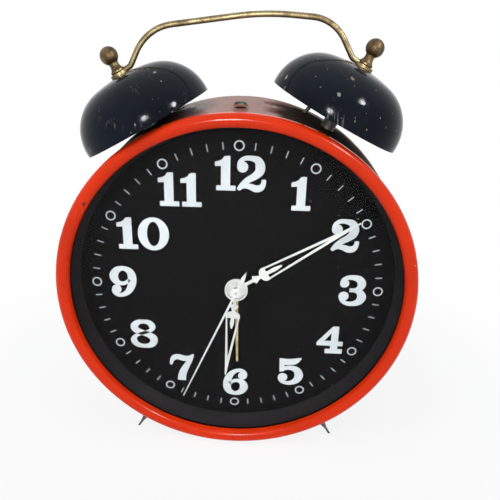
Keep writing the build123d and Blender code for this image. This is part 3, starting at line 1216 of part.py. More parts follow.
def hammer_rocker():
    """The verge's arbor: its anchor, its hub, and two wires that run out into the bells."""
    y0, y1 = ALARM_ESCAPE_WHEEL_Y[0] - 0.2, ALARM_ESCAPE_WHEEL_Y[1] + 0.2
    solid = train_arbor(HAMMER, [(y0, y1)])
    solid += disc(HAMMER_HUB, HAMMER_Y - HAMMER_HUB_HALF, HAMMER_Y + HAMMER_HUB_HALF, HAMMER)
    from_escape = bearing_to(ALARM_ESCAPE, HAMMER)
    sketch = spot(VERGE_HUB, HAMMER)
    for side in (-1, 1):
        bearing = from_escape + VERGE_SPREAD * side
        pallet = polar(ALARM_ESCAPE, ALARM_ESCAPE_RADIUS + VERGE_PALLET_REACH, bearing)
        bend = polar(ALARM_ESCAPE, ALARM_ESCAPE_RADIUS + VERGE_ELBOW_REACH, bearing)
        sketch += bar(HAMMER, bend, VERGE_ROOT, VERGE_MIDDLE) + bar(bend, pallet, VERGE_MIDDLE, VERGE_TIP)
    solid += plate(sketch, y0, y1)
    for side in (-1, 1):
        elbow = hammer_elbow(side)
        solid += rod_between(HAMMER, elbow, HAMMER_WIRE_RADIUS, HAMMER_Y)
        solid += Pos(elbow[0], HAMMER_Y, elbow[1]) * Sphere(HAMMER_WIRE_RADIUS)
        solid += rod_between(elbow, hammer_head_place(side), HAMMER_WIRE_RADIUS, HAMMER_Y)
    return solid


def hammer_heads():
    """Two brass heads, each bored for its wire."""
    heads = []
    for side in (-1, 1):
        head = hammer_head_place(side)
        bearing = bearing_to(hammer_elbow(side), head)
        ball = Sphere(HAMMER_HEAD_RADIUS) - Pos(0, 0, -HAMMER_HEAD_RADIUS) * Cylinder(
            HAMMER_WIRE_RADIUS, 2 * HAMMER_HEAD_RADIUS)
        heads.append(Pos(head[0], HAMMER_Y, head[1]) * Rot(0, bearing, 0) * ball)
    return group(heads)


def alarm_stop_rod():
    """A rod with a button: pulled out, it frees the hammer."""
    button_y = PAN_REAR_Y + STOP_BUTTON_GAP
    solid = disc(STOP_ROD_RADIUS, STOP_ROD_FRONT_Y, button_y + 1, STOP_ROD_PLACE)
    button = disc(STOP_BUTTON_RADIUS, button_y, button_y + STOP_BUTTON_HEIGHT, STOP_ROD_PLACE)
    return solid + button


# ---------------------------------------------------------------- the whole clock
GROUND = case_radius_at(CASE_REAR_Y - CASE_EDGE_ROLL)
FRONT_REACH = min(BEZEL_CROWN_Y, BELL_Y - BELL_RADIUS)
SHIFT_Y = -(FRONT_REACH + KEY_REAR_Y) / 2

NODES = {
    "case_shell": case_shell,
    "bezel": bezel,
    "crystal": crystal,
    "rehaut_ring": rehaut_ring,
    "dial": dial,
    "back_cover": back_cover,
    "case_screws": case_screws,
    "left_bell": lambda: bell(-1),
    "right_bell": lambda: bell(1),
    "bell_posts": bell_posts,
    "bell_sleeves": bell_sleeves,
    "hex_nuts": hex_nuts,
    "finials": finials,
    "carry_handle": carry_handle,
    "front_feet": front_feet,
    "front_plate": front_plate,
    "back_plate": back_plate,
    "pillars": pillars,
    "time_mainspring": time_mainspring,
    "alarm_mainspring": alarm_mainspring,
    "hairspring": hairspring,
    "alarm_release_spring": alarm_release_spring,
    "fourth_arbor": fourth_arbor,
    "fourth_wheel": fourth_wheel,
    "second_hand": second_hand,
    "third_arbor": third_arbor,
    "third_wheel": third_wheel,
    "centre_arbor": centre_arbor,
    "centre_wheel": centre_wheel,
    "time_great_wheel": time_great_wheel,
    "time_click": time_click,
    "time_winding_arbor": lambda: winding_arbor(GREAT),
    "time_ratchet": lambda: ratchet(GREAT),
    "time_winding_key": lambda: winding_key(GREAT, TIME_KEY_BEARING),
    "escape_arbor": escape_arbor,
    "escape_wheel": escape_wheel,
    "pallet_lever": pallet_lever,
    "balance_staff": balance_staff,
    "balance_wheel": balance_wheel,
    "regulator_lever": regulator_lever,
    "cannon_pinion": cannon_pinion,
    "minute_hand": minute_hand,
    "minute_wheel": minute_wheel,
    "time_set_knob": lambda: knob(MINUTE),
    "hour_wheel": hour_wheel,
    "hour_hand": hour_hand,
    "alarm_wheel": alarm_wheel,
    "alarm_hand": alarm_hand,
    "alarm_set_arbor": alarm_set_arbor,
    "alarm_set_knob": lambda: knob(ALARM_SET),
    "alarm_great_wheel": alarm_great_wheel,
    "alarm_click": alarm_click,
    "alarm_winding_arbor": lambda: winding_arbor(ALARM_GREAT),
    "alarm_ratchet": lambda: ratchet(ALARM_GREAT),
    "alarm_winding_key": lambda: winding_key(ALARM_GREAT, ALARM_KEY_BEARING),
    "alarm_second_wheel": alarm_second_wheel,
    "alarm_escape_wheel": alarm_escape_wheel,
    "hammer_rocker": hammer_rocker,
    "hammer_heads": hammer_heads,
    "alarm_stop_rod": alarm_stop_rod,
}


def main():
    os.makedirs("parts", exist_ok=True)
    for name, make in NODES.items():
        solid = Pos(0, SHIFT_Y, GROUND) * make()
        solid.label = name
        export_step(solid, os.path.join("parts", name + ".step"))


main()
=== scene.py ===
import json
import math

import bmesh
import bpy
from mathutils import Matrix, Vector


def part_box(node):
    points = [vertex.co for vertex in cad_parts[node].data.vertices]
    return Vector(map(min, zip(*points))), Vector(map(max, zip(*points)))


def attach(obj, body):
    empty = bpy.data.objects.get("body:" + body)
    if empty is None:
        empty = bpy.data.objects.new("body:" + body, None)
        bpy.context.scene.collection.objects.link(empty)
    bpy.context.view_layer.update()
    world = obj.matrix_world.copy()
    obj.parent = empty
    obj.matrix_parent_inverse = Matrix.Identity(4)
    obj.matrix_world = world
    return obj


bl_info = {
    "name": "Twin-bell alarm clock",
    "version": (1, 0, 0),
    "blender": (4, 5, 0),
    "location": "View3D > Sidebar > Clock",
    "description": "Finishes a wind-up alarm clock: enamel, brass, glass, printed dial and hands",
    "category": "Object",
}

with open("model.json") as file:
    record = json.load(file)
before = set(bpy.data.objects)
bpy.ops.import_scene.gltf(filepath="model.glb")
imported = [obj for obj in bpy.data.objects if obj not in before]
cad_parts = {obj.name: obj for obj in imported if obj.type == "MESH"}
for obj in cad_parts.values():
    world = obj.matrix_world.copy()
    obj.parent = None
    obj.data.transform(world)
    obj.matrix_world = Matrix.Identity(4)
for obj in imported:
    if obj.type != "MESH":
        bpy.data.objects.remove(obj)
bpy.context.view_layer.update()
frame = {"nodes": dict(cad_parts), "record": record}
NODES = frame["nodes"]

# The dial's middle on its front face is the place that the printed marks are laid out from.
DIAL_LOW, DIAL_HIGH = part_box("dial")
DIAL_MIDDLE = Vector(((DIAL_LOW[0] + DIAL_HIGH[0]) / 2, DIAL_LOW[1],
                      (DIAL_LOW[2] + DIAL_HIGH[2]) / 2))
MM = 0.001

# ---------------------------------------------------------------- fixed values
# Places are in millimetres from the dial's middle: right, back and up.
CAMERA_PLACE = (12.3, -295.7, 143.7)
CAMERA_TURN = (66.83, -1.31, 2.12)
CAMERA_SHIFT = (0.0115, 0.0214)
CAMERA_NEAR = 0.01
SENSOR_WIDTH = 36.0
LAMP_AIM = (0, 10, 20)
# Large soft lamps that gloss doesn't show: the setting with the power, the size and the place.
SOFT_LAMPS = (("key_lamp", "key_power", 0.6, (-330, -420, 620)),
              ("fill_lamp", "fill_power", 0.7, (560, -380, 260)))
# Small lamps that only gloss shows: the share of the glint power, the size and the place.
GLINT_LAMPS = (("front_glint", 0.5, 0.05, (-25, -283, 182)),
               ("side_glint", 1.0, 0.07, (330, -205, 360)))
FLOOR_HALF = 8.0
FLOOR_FADE = (0.14, 0.30)
ROOM_COLOUR = (0.90, 0.95, 1.0, 1.0)
WHITE = (1.0, 1.0, 1.0, 1.0)

# Enamel chips: a cell's size in millimetres, the spot's share of it and the cells that keep one.
RED_CHIPS = ((14.0, 0.10, 0.5), (6.0, 0.10, 0.3))
BLACK_CHIPS = ((11.0, 0.16, 0.55), (5.4, 0.13, 0.6), (3.0, 0.15, 0.55))
# What shows in the chips: the colour of most of them, then of the rest.
RED_PRIMERS = ((0.05, 0.03, 0.025), (0.50, 0.34, 0.28))
BLACK_PRIMERS = ((0.50, 0.46, 0.40), (0.24, 0.11, 0.08))
# Dust and painted sheen on the bells' upper faces: a pale grey-green and its share.
BELL_DUST_AND_SHEEN_COLOUR = (0.85, 1.0, 0.95)
BELL_DUST_AND_SHEEN_SHARE = 0.012

# Where painted shade lies on the drum under the bells, and where its top is paler with painted
# reflection and dust, in metres from the dial's middle.
PAINTED_SHADE_RIGHT = (0.013, 0.024)
PAINTED_SHADE_LEFT = (-0.030, -0.044)
PAINTED_SHADE_HEIGHT = (0.052, 0.084)
PAINTED_SHADE_DEPTH = (0.050, 0.034)
PAINTED_SHADE_SHARE = 0.96
PAINTED_SHADE_ROUGHNESS = 0.6
# Paler top of the drum, a painted reflection of the bright surroundings with some dust: its height
# and shares.
TOP_SHEEN_AND_DUST_HEIGHT = (0.080, 0.092)
TOP_SHEEN_AND_DUST_SHARE = (0.70, 0.95)
RAGGED_EDGE = 0.007
WALL_FACING = 0.35
DRUM_MIDDLE_Y = 25

# The stud on top of the drum, as (radius, height) pairs in millimetres.
STUD_Y = 7.0
STUD_SINK = 0.5
STUD_PROFILE = [(0, 2.3), (1.8, 2.2), (2.9, 1.8), (3.4, 1.3), (3.45, 0.2)]
COLLAR_PROFILE = [(3.4, 0.9), (3.6, 1.0), (3.9, 0.9), (4.1, 0.6), (4.3, 0.1)]

# The hands' edges and the washer over their hub, in millimetres.
HAND_EDGE = 0.12
WASHER_RADIUS = 5.4
WASHER_WIDTH = 3.5
WASHER_LIFT = 0.02
WASHER_THICKNESS = 0.12
# Each layer of a numeral is thicker than the last by this many millimetres, so none coincide.
LAYER_STEP = 0.004
DIAL_FACE = 0.0

# Metals: bright and dull colour, size of the patches in millimetres, roughness where bright and
# where dull, and the offset of the pattern.
METALS = {
    "stud_zinc": ((0.11, 0.12, 0.11), (0.04, 0.04, 0.037), 2.5, 0.45, 0.6, 18.0),
    "dull_steel": ((0.15, 0.14, 0.13), (0.05, 0.042, 0.036), 9.0, 0.36, 0.55, 7.0),
    "hammer_brass": ((0.60, 0.45, 0.20), (0.22, 0.15, 0.07), 5.0, 0.25, 0.5, 8.0),
    "dark_steel": ((0.16, 0.16, 0.17), (0.045, 0.042, 0.042), 4.0, 0.30, 0.55, 6.0),
    "hand_brass": ((0.70, 0.60, 0.32), (0.40, 0.31, 0.14), 6.0, 0.3, 0.45, 13.0),
    "key_plating": ((0.66, 0.62, 0.52), (0.30, 0.26, 0.20), 12.0, 0.24, 0.42, 14.0),
    "wheel_brass": ((0.68, 0.52, 0.24), (0.36, 0.25, 0.10), 14.0, 0.26, 0.42, 15.0),
    "arbor_steel": ((0.56, 0.56, 0.57), (0.30, 0.29, 0.28), 7.0, 0.2, 0.4, 16.0),
    "spring_steel": ((0.20, 0.24, 0.34), (0.10, 0.11, 0.15), 10.0, 0.22, 0.4, 17.0),
}
BELL_STEEL_NODES = ("bell_posts", "bell_sleeves", "hex_nuts", "hammer_rocker")
BACK_NODES = ("time_winding_key", "alarm_winding_key", "time_set_knob", "alarm_set_knob",
              "alarm_stop_rod", "case_screws", "regulator_lever")


# ---------------------------------------------------------------- settings
class ClockSizes(bpy.types.PropertyGroup):
    """Sizes of the printed marks and of the edges that are broken."""

    ring_circle: bpy.props.FloatProperty(
        name="Hour ring circle", description="Radius that the hour rings and minute marks stand on",
        default=85.5 * MM, unit="LENGTH")
    hour_ring_radius: bpy.props.FloatProperty(
        name="Hour ring radius", description="Outer radius of each small hour ring",
        default=2.95 * MM, unit="LENGTH")
    hour_ring_line: bpy.props.FloatProperty(
        name="Hour ring line", description="Width of the line that draws an hour ring",
        default=0.75 * MM, unit="LENGTH")
    minute_mark_length: bpy.props.FloatProperty(
        name="Minute mark length", description="Length of a minute mark along its radius",
        default=4.0 * MM, unit="LENGTH")
    minute_mark_width: bpy.props.FloatProperty(
        name="Minute mark width", description="Width of a minute mark",
        default=0.5 * MM, unit="LENGTH")
    paint_thickness: bpy.props.FloatProperty(
        name="Paint thickness", description="How far the printed marks stand off the dial",
        default=0.06 * MM, unit="LENGTH")
    edge_break: bpy.props.FloatProperty(
        name="Broken edge", description="Width of the small bevel on turned and stamped metal",
        default=0.16 * MM, unit="LENGTH")


class ClockColours(bpy.types.PropertyGroup):
    """Colours of the finishes."""

    bezel_enamel: bpy.props.FloatVectorProperty(
        name="Bezel enamel", description="Orange-red enamel of the bezel",
        subtype="COLOR", size=3, min=0, max=1, default=(0.86, 0.038, 0.003))
    # Painted shade: the drum wears the bezel's red enamel drawn much darker.
    drum_enamel: bpy.props.FloatVectorProperty(
        name="Drum enamel", description="Darker red enamel of the drum and its back",
        subtype="COLOR", size=3, min=0, max=1, default=(0.20, 0.013, 0.009))
    # Painted reflection with some dust: a paler pinkish colour on top of the drum, standing in for
    # its gloss showing the bright surroundings.
    drum_sheen_and_dust: bpy.props.FloatVectorProperty(
        name="Sheened enamel",
        description="Dusty, faded enamel on top of the drum, between the bells",
        subtype="COLOR", size=3, min=0, max=1, default=(0.40, 0.17, 0.125))
    # Painted shade: a dark brown laid on the drum under the bells, where their shadow and dark
    # reflection fall.
    drum_painted_shade: bpy.props.FloatVectorProperty(
        name="Shading", description="Brown shading on the drum, in the shelter of the bells",
        subtype="COLOR", size=3, min=0, max=1, default=(0.052, 0.037, 0.026))
    drum_inside: bpy.props.FloatVectorProperty(
        name="Drum inside", description="Bare dark steel inside the drum",
        subtype="COLOR", size=3, min=0, max=1, default=(0.020, 0.017, 0.015))
    bell_enamel: bpy.props.FloatVectorProperty(
        name="Bell enamel", description="Blue-black enamel of the bells",
        subtype="COLOR", size=3, min=0, max=1, default=(0.0045, 0.0065, 0.0110))
    dial_lacquer: bpy.props.FloatVectorProperty(
        name="Dial lacquer", description="Black of the dial",
        subtype="COLOR", size=3, min=0, max=1, default=(0.0042, 0.0038, 0.0042))
    print_white: bpy.props.FloatVectorProperty(
        name="Print white", description="White of the numerals and marks",
        subtype="COLOR", size=3, min=0, max=1, default=(0.56, 0.60, 0.62))
    hand_white: bpy.props.FloatVectorProperty(
        name="Hand white", description="White paint of the hands",
        subtype="COLOR", size=3, min=0, max=1, default=(0.62, 0.63, 0.61))
    old_brass: bpy.props.FloatVectorProperty(
        name="Old brass", description="Brass of the handle where it is still bright",
        subtype="COLOR", size=3, min=0, max=1, default=(0.31, 0.245, 0.13))
    brass_tarnish: bpy.props.FloatVectorProperty(
        name="Brass tarnish", description="Brown that dulls the brass",
        subtype="COLOR", size=3, min=0, max=1, default=(0.085, 0.055, 0.028))


class StageSettings(bpy.types.PropertyGroup):
    """The floor, the lamps and the camera."""

    floor_colour: bpy.props.FloatVectorProperty(
        name="Floor", description="Pale colour of the floor",
        subtype="COLOR", size=3, min=0, max=1, default=(0.90, 0.90, 0.90))
    key_power: bpy.props.FloatProperty(
        name="Key lamp", description="Power of the large soft lamp",
        default=2.8, unit="POWER")
    fill_power: bpy.props.FloatProperty(
        name="Fill lamp", description="Power of the weak lamp on the other side",
        default=1.1, unit="POWER")
    glint_power: bpy.props.FloatProperty(
        name="Glint lamps", description="Power of the small lamps that only gloss shows",
        default=1.6, unit="POWER")
    room_strength: bpy.props.FloatProperty(
        name="Room light", description="Soft light from all round", default=0.5)
    floor_whiteness: bpy.props.FloatProperty(
        name="Floor whiteness", description="How much of the floor under the clock is plain white",
        default=0.86)
    camera_lens: bpy.props.FloatProperty(
        name="Lens", description="Focal length in millimetres on a 36 mm sensor",
        default=38.84)


# ---------------------------------------------------------------- places
def dial_point(x, y, z):
    """A point given in millimetres from the dial's middle: right, back and up."""
    return DIAL_MIDDLE + Vector((x, y, z)) * MM


def on_circle(radius, bearing):
    """Right and up on the dial, for a bearing in degrees clockwise from the top."""
    angle = math.radians(bearing)
    return radius * math.sin(angle), radius * math.cos(angle)


# ---------------------------------------------------------------- meshes
def new_piece(name, mesh_tools, material, smooth=True):
    """Turns a bmesh into a named object with one material."""
    mesh = bpy.data.meshes.new(name)
    bmesh.ops.recalc_face_normals(mesh_tools, faces=mesh_tools.faces)
    mesh_tools.to_mesh(mesh)
    mesh_tools.free()
    for face in mesh.polygons:
        face.use_smooth = smooth
    mesh.materials.append(material)
    piece = bpy.data.objects.new(name, mesh)
    bpy.context.scene.collection.objects.link(piece)
    return piece


def turned(name, middle, profile, material, segments=48):
    """A small upright turned piece, from (radius, height) pairs in millimetres over a point."""
    tools = bmesh.new()
    rows = []
    for radius, height in profile:
        if radius:
            angles = [2 * math.pi * step / segments for step in range(segments)]
            ring = [Vector((radius * math.cos(a), radius * math.sin(a), height)) for a in angles]
            rows.append([tools.verts.new(middle + corner * MM) for corner in ring])
        else:
            rows.append([tools.verts.new(middle + Vector((0, 0, height)) * MM)])
    for upper, lower in zip(rows, rows[1:]):
        for step in range(segments):
            after = (step + 1) % segments
            if len(upper) == 1:
                tools.faces.new((upper[0], lower[step], lower[after]))
            else:
                tools.faces.new((upper[step], lower[step], lower[after], upper[after]))
    return new_piece(name, tools, material)


def smooth_curve(points, steps=8):
    """Points along a smooth curve through the given tuples, any number of values each."""
    count = len(points)
    path = []
    for index in range(count - 1):
        before = points[max(index - 1, 0)]
        start = points[index]
        end = points[index + 1]
        after = points[min(index + 2, count - 1)]
        for step in range(steps):
            t = step / steps
            values = []
            for a, b, c, d in zip(before, start, end, after):
                values.append(0.5 * (2 * b + (c - a) * t + (2 * a - 5 * b + 4 * c - d) * t ** 2
                                     + (3 * b - a - 3 * c + d) * t ** 3))
            path.append(tuple(values))
    path.append(tuple(points[-1]))
    return path


def raise_faces(tools, faces, thickness):
    """Gives flat faces on the dial a thickness towards the reader."""
    extruded = bmesh.ops.extrude_face_region(tools, geom=faces)
    corners = [item for item in extruded["geom"] if isinstance(item, bmesh.types.BMVert)]
    bmesh.ops.translate(tools, verts=corners, vec=Vector((0, -thickness, 0)))


def add_polygon(tools, corners, level, thickness):
    """A flat filled outline of (right, up) corners in millimetres."""
    face = tools.faces.new([tools.verts.new(dial_point(x, level, z)) for x, z in corners])
    raise_faces(tools, [face], thickness)


def add_stroke(tools, points, level, thickness):
    """A brush stroke through (right, up, width) points, smooth along its length."""
    path = smooth_curve(points)
    left, right = [], []
    for index, (x, z, width) in enumerate(path):
        ahead = path[min(index + 1, len(path) - 1)]
        behind = path[max(index - 1, 0)]
        along = Vector((ahead[0] - behind[0], ahead[1] - behind[1])).normalized()
        across = Vector((-along.y, along.x)) * width / 2
        left.append(tools.verts.new(dial_point(x + across.x, level, z + across.y)))
        right.append(tools.verts.new(dial_point(x - across.x, level, z - across.y)))
    faces = []
    for index in range(len(path) - 1):
        faces.append(tools.faces.new((left[index], left[index + 1],
                                      right[index + 1], right[index])))
    raise_faces(tools, faces, thickness)


def add_ring(tools, middle, half_width, half_height, line_x, line_z, level, thickness, segments=48):
    """A ring between two ovals, as a nought or an hour ring."""
    outer, inner = [], []
    for index in range(segments):
        angle = 2 * math.pi * index / segments
        c, s = math.cos(angle), math.sin(angle)
        outer.append(tools.verts.new(dial_point(middle[0] + half_width * c, level,
                                                middle[1] + half_height * s)))
        inner.append(tools.verts.new(dial_point(middle[0] + (half_width - line_x) * c, level,
                                                middle[1] + (half_height - line_z) * s)))
    faces = []
    for index in range(segments):
        following = (index + 1) % segments
        faces.append(tools.faces.new((outer[index], outer[following],
                                      inner[following], inner[index])))
    raise_faces(tools, faces, thickness)


def add_ball(tools, middle, radius, level, thickness, segments=32):
    """The round end of a numeral's stroke."""
    corners = []
    for index in range(segments):
        angle = 2 * math.pi * index / segments
        corners.append((middle[0] + radius * math.cos(angle),
                        middle[1] + radius * math.sin(angle)))
    add_polygon(tools, corners, level, thickness)


# ---------------------------------------------------------------- numerals
# Each figure is drawn about its own middle, in millimetres for figures about 20 mm tall: strokes
# of (right, up, width), balls of (right, up, radius), straight-sided blocks of (right, up)
# corners, and rings of (half width, half height, line at the sides, line at the top).
SIX_STROKES = [
    [(7.1, 5.2, 1.6), (6.3, 7.4, 2.1), (3.8, 8.9, 2.6), (0.6, 8.5, 2.8), (-2.7, 6.0, 3.9),
     (-4.8, 1.6, 4.9), (-5.3, -3.4, 5.1), (-3.9, -7.3, 4.3), (-0.1, -9.1, 2.9), (3.9, -7.7, 4.2),
     (5.9, -3.9, 5.3), (4.5, -0.3, 4.2), (1.5, 1.0, 2.7), (-1.4, 0.3, 2.3), (-3.6, -1.8, 2.2)],
]
FIGURES = {
    "0": {"rings": [(9.2, 10.3, 5.4, 2.7)]},
    "1": {"blocks": [
        [(2.75, 9.8), (2.75, -7.0), (5.8, -7.0), (5.8, -9.9), (-4.9, -9.9), (-4.9, -7.0),
         (-2.3, -7.0), (-2.3, 4.1), (-5.6, 3.9), (-5.6, 6.4), (-3.4, 6.9), (-1.6, 7.9),
         (-0.4, 9.7)]]},
    "2": {"strokes": [
        [(-6.9, 4.4, 1.8), (-6.1, 6.9, 2.2), (-3.4, 8.7, 2.6), (0.1, 8.8, 2.9), (3.7, 7.6, 4.3),
         (5.1, 4.3, 5.4), (4.6, 1.2, 5.0), (1.9, -1.4, 4.0), (-2.0, -3.8, 3.4), (-5.2, -6.7, 2.6),
         (-6.9, -9.3, 2.0)],
        [(-6.9, -9.3, 2.0), (-5.4, -7.6, 2.6), (-3.0, -6.8, 3.0), (0.2, -7.4, 3.5),
         (3.0, -8.4, 4.0), (5.7, -7.8, 3.7), (7.1, -5.6, 2.8), (7.3, -3.1, 2.4)]],
        "balls": [(-4.7, 3.8, 3.1)]},
    "3": {"strokes": [
        [(-6.7, 5.0, 1.8), (-5.6, 7.3, 2.3), (-3.0, 8.6, 2.8), (0.3, 8.7, 3.3), (3.7, 7.6, 4.4),
         (5.4, 4.8, 5.0), (4.6, 2.1, 4.2), (2.0, 0.5, 2.7), (-1.6, 0.3, 2.6)],
        [(-1.6, 0.3, 2.6), (2.2, 0.1, 2.8), (5.0, -1.5, 4.4), (6.1, -4.3, 5.5), (4.6, -7.3, 4.6),
         (1.2, -8.8, 3.2), (-2.4, -8.7, 2.7), (-5.5, -7.1, 2.2), (-7.0, -4.4, 1.8)]],
        "balls": [(-4.9, 4.7, 2.75), (-4.8, -3.9, 3.05)]},
    "4": {"blocks": [
        [(1.6, 9.7), (5.4, 9.7), (5.4, -1.1), (5.4, -4.3), (1.0, -4.3), (1.0, -0.8), (1.0, 4.9)],
        [(1.6, 9.7), (1.0, 4.9), (-3.2, -0.8), (-7.9, -1.8)],
        [(-7.9, -1.8), (-3.2, -0.8), (1.0, -0.8), (1.0, -4.3), (-7.9, -4.2)],
        [(5.4, -1.1), (8.5, -1.1), (8.5, -4.4), (5.4, -4.3)],
        [(0.8, -4.3), (5.4, -4.3), (5.4, -6.6), (8.5, -6.6), (8.5, -9.9), (-2.4, -9.9),
         (-2.4, -6.7), (0.8, -6.6)]]},
    "5": {"strokes": [
        [(-5.7, 0.2, 2.4), (-3.5, 1.9, 2.7), (0.4, 2.4, 3.3), (4.2, 0.7, 4.6), (5.9, -3.1, 5.5),
         (4.6, -6.8, 4.8), (1.4, -9.0, 3.3), (-2.4, -9.4, 2.6), (-5.7, -8.0, 2.2),
         (-7.3, -5.4, 1.8)]],
        "balls": [(-4.8, -5.1, 3.1)],
        "blocks": [
            [(-7.5, 9.5), (-4.0, 9.1), (-4.0, 4.4), (-4.1, 1.2), (-4.6, 0.0), (-7.0, -1.0)],
            [(-4.0, 9.1), (-1.0, 9.0), (1.8, 9.4), (4.6, 9.9), (7.2, 10.3), (6.3, 8.3), (5.0, 6.5),
             (3.4, 5.3), (1.4, 4.7), (-1.4, 4.4), (-4.0, 4.4)]]},
    "6": {"strokes": SIX_STROKES, "balls": [(4.8, 4.8, 2.9)]},
    "7": {"strokes": [
        [(-6.9, 1.6, 1.6), (-6.6, 4.4, 2.4), (-5.0, 6.9, 3.7), (-2.5, 7.7, 3.8), (0.4, 6.9, 4.1),
         (3.4, 6.6, 3.7), (5.9, 8.0, 2.4), (7.6, 9.9, 1.0)],
        [(7.3, 9.0, 1.2), (5.7, 5.8, 2.7), (3.1, 1.2, 4.0), (1.0, -3.2, 4.8), (0.0, -7.0, 5.2),
         (-0.2, -10.3, 5.4)]]},
    "8": {"strokes": [
        [(0.2, 9.0, 2.7), (-3.4, 8.1, 3.6), (-5.7, 5.4, 4.7), (-4.5, 2.6, 4.4), (-0.6, 0.9, 3.7),
         (3.7, -0.9, 4.2), (6.5, -3.7, 4.7), (5.0, -7.6, 4.2), (0.6, -9.0, 2.8), (-4.2, -8.0, 3.5),
         (-6.4, -4.9, 4.1), (-5.5, -2.2, 2.8), (-3.0, -0.5, 2.2), (1.6, 1.3, 2.2), (4.7, 2.8, 2.6),
         (5.7, 5.2, 4.1), (4.1, 8.0, 3.6), (0.2, 9.0, 2.7)]]},
    "9": {"strokes": [[(-x, -z, width) for x, z, width in SIX_STROKES[0]]],
          "balls": [(-4.6, -4.9, 2.9)]},
}
# For each hour: the figures, each with its offset and width share, then the numeral's middle.
HOURS = {
    1: ([("1", 0.0, 1.0)], 35.3, 59.4),
    2: ([("2", 0.0, 1.0)], 62.3, 35.1),
    3: ([("3", 0.0, 1.0)], 70.0, 0.0),
    4: ([("4", 0.0, 1.0)], 59.3, -35.0),
    5: ([("5", 0.0, 0.98)], 35.9, -59.5),
    6: ([("6", 0.0, 1.0)], 0.2, -69.6),
    7: ([("7", 0.0, 1.0)], -34.7, -59.7),
    8: ([("8", 0.0, 1.0)], -58.7, -35.8),
    9: ([("9", 0.0, 1.0)], -69.1, 0.3),
    10: ([("1", -9.6, 1.06), ("0", 6.0, 1.0)], -55.5, 32.2),
    11: ([("1", -6.7, 1.04), ("1", 6.1, 1.04)], -33.1, 59.6),
    12: ([("1", -8.9, 1.02), ("2", 5.5, 1.0)], 1.3, 69.9),
}


def add_figure(tools, figure, middle, stretch, level, thickness):
    """Draws one figure with its middle at a place on the dial."""
    shape = FIGURES[figure]
    x0, z0 = middle
    for stroke in shape.get("strokes", []):
        path = [(x0 + x * stretch, z0 + z, width) for x, z, width in stroke]
        add_stroke(tools, path, level, thickness)
        thickness += LAYER_STEP * MM
    for x, z, radius in shape.get("balls", []):
        add_ball(tools, (x0 + x * stretch, z0 + z), radius, level, thickness)
        thickness += LAYER_STEP * MM
    for block in shape.get("blocks", []):
        add_polygon(tools, [(x0 + x * stretch, z0 + z) for x, z in block], level, thickness)
        thickness += LAYER_STEP * MM
    for half_width, half_height, line_x, line_z in shape.get("rings", []):
        add_ring(tools, middle, half_width, half_height, line_x, line_z, level, thickness, 72)


# ---------------------------------------------------------------- finishes
def finish_tree(name):
    """A new material: returns it with its node tree and its one principled shader."""
    material = bpy.data.materials.new(name)
    material.use_nodes = True
    tree = material.node_tree
    tree.nodes.clear()
    output = tree.nodes.new("ShaderNodeOutputMaterial")
    shader = tree.nodes.new("ShaderNodeBsdfPrincipled")
    tree.links.new(shader.outputs["BSDF"], output.inputs["Surface"])
    return material, tree, shader


def surface_output(tree):
    """The node that the finished surface goes to."""
    return next(node for node in tree.nodes if node.type == "OUTPUT_MATERIAL")


def mix_shaders(tree, share, first, second, output):
    """Sends a mix of two shaders to an output: the second one's share is given."""
    mix = tree.nodes.new("ShaderNodeMixShader")
    tree.links.new(share, mix.inputs["Fac"])
    tree.links.new(first, mix.inputs[1])
    tree.links.new(second, mix.inputs[2])
    tree.links.new(mix.outputs["Shader"], output.inputs["Surface"])


def surface_place(tree, offset=0.0):
    """Object coordinates, moved so that no two finishes share one pattern."""
    coordinates = tree.nodes.new("ShaderNodeTexCoord")
    mapping = tree.nodes.new("ShaderNodeMapping")
    mapping.inputs["Location"].default_value = (offset, offset * 0.7, -offset * 1.3)
    tree.links.new(coordinates.outputs["Object"], mapping.inputs["Vector"])
    return mapping.outputs["Vector"]


def noise(tree, place, size_mm, detail=3.0, roughness=0.55, distortion=0.0):
    """A cloudy pattern whose features are about size_mm across."""
    node = tree.nodes.new("ShaderNodeTexNoise")
    node.inputs["Scale"].default_value = 1000.0 / size_mm
    node.inputs["Detail"].default_value = detail
    node.inputs["Roughness"].default_value = roughness
    node.inputs["Distortion"].default_value = distortion
    tree.links.new(place, node.inputs["Vector"])
    return node.outputs["Fac"]


def ramp(tree, value, low, high, low_out=0.0, high_out=1.0):
    """Maps a value from low..high to low_out..high_out, held at both ends."""
    node = tree.nodes.new("ShaderNodeMapRange")
    node.inputs["From Min"].default_value = low
    node.inputs["From Max"].default_value = high
    node.inputs["To Min"].default_value = low_out
    node.inputs["To Max"].default_value = high_out
    tree.links.new(value, node.inputs["Value"])
    return node.outputs["Result"]


def maths(tree, operation, first, second):
    """One arithmetic step; either side may be a number or a socket."""
    node = tree.nodes.new("ShaderNodeMath")
    node.operation = operation
    for socket, value in zip(node.inputs, (first, second)):
        if isinstance(value, (int, float)):
            socket.default_value = value
        else:
            tree.links.new(value, socket)
    return node.outputs["Value"]


def blend_colours(tree, share, first, second):
    """A colour between two, each given as a tuple or a socket."""
    node = tree.nodes.new("ShaderNodeMix")
    node.data_type = "RGBA"
    tree.links.new(share, node.inputs["Factor"])
    for socket, value in ((node.inputs["A"], first), (node.inputs["B"], second)):
        if isinstance(value, tuple):
            socket.default_value = value + (1.0,)
        else:
            tree.links.new(value, socket)
    return node.outputs["Result"]


def seen_rays(tree):
    """One for rays that show the background: to the camera, off gloss and through glass."""
    ray = tree.nodes.new("ShaderNodeLightPath")
    direct = maths(tree, "MAXIMUM", ray.outputs["Is Camera Ray"], ray.outputs["Is Glossy Ray"])
    return maths(tree, "MAXIMUM", direct, ray.outputs["Is Transmission Ray"])


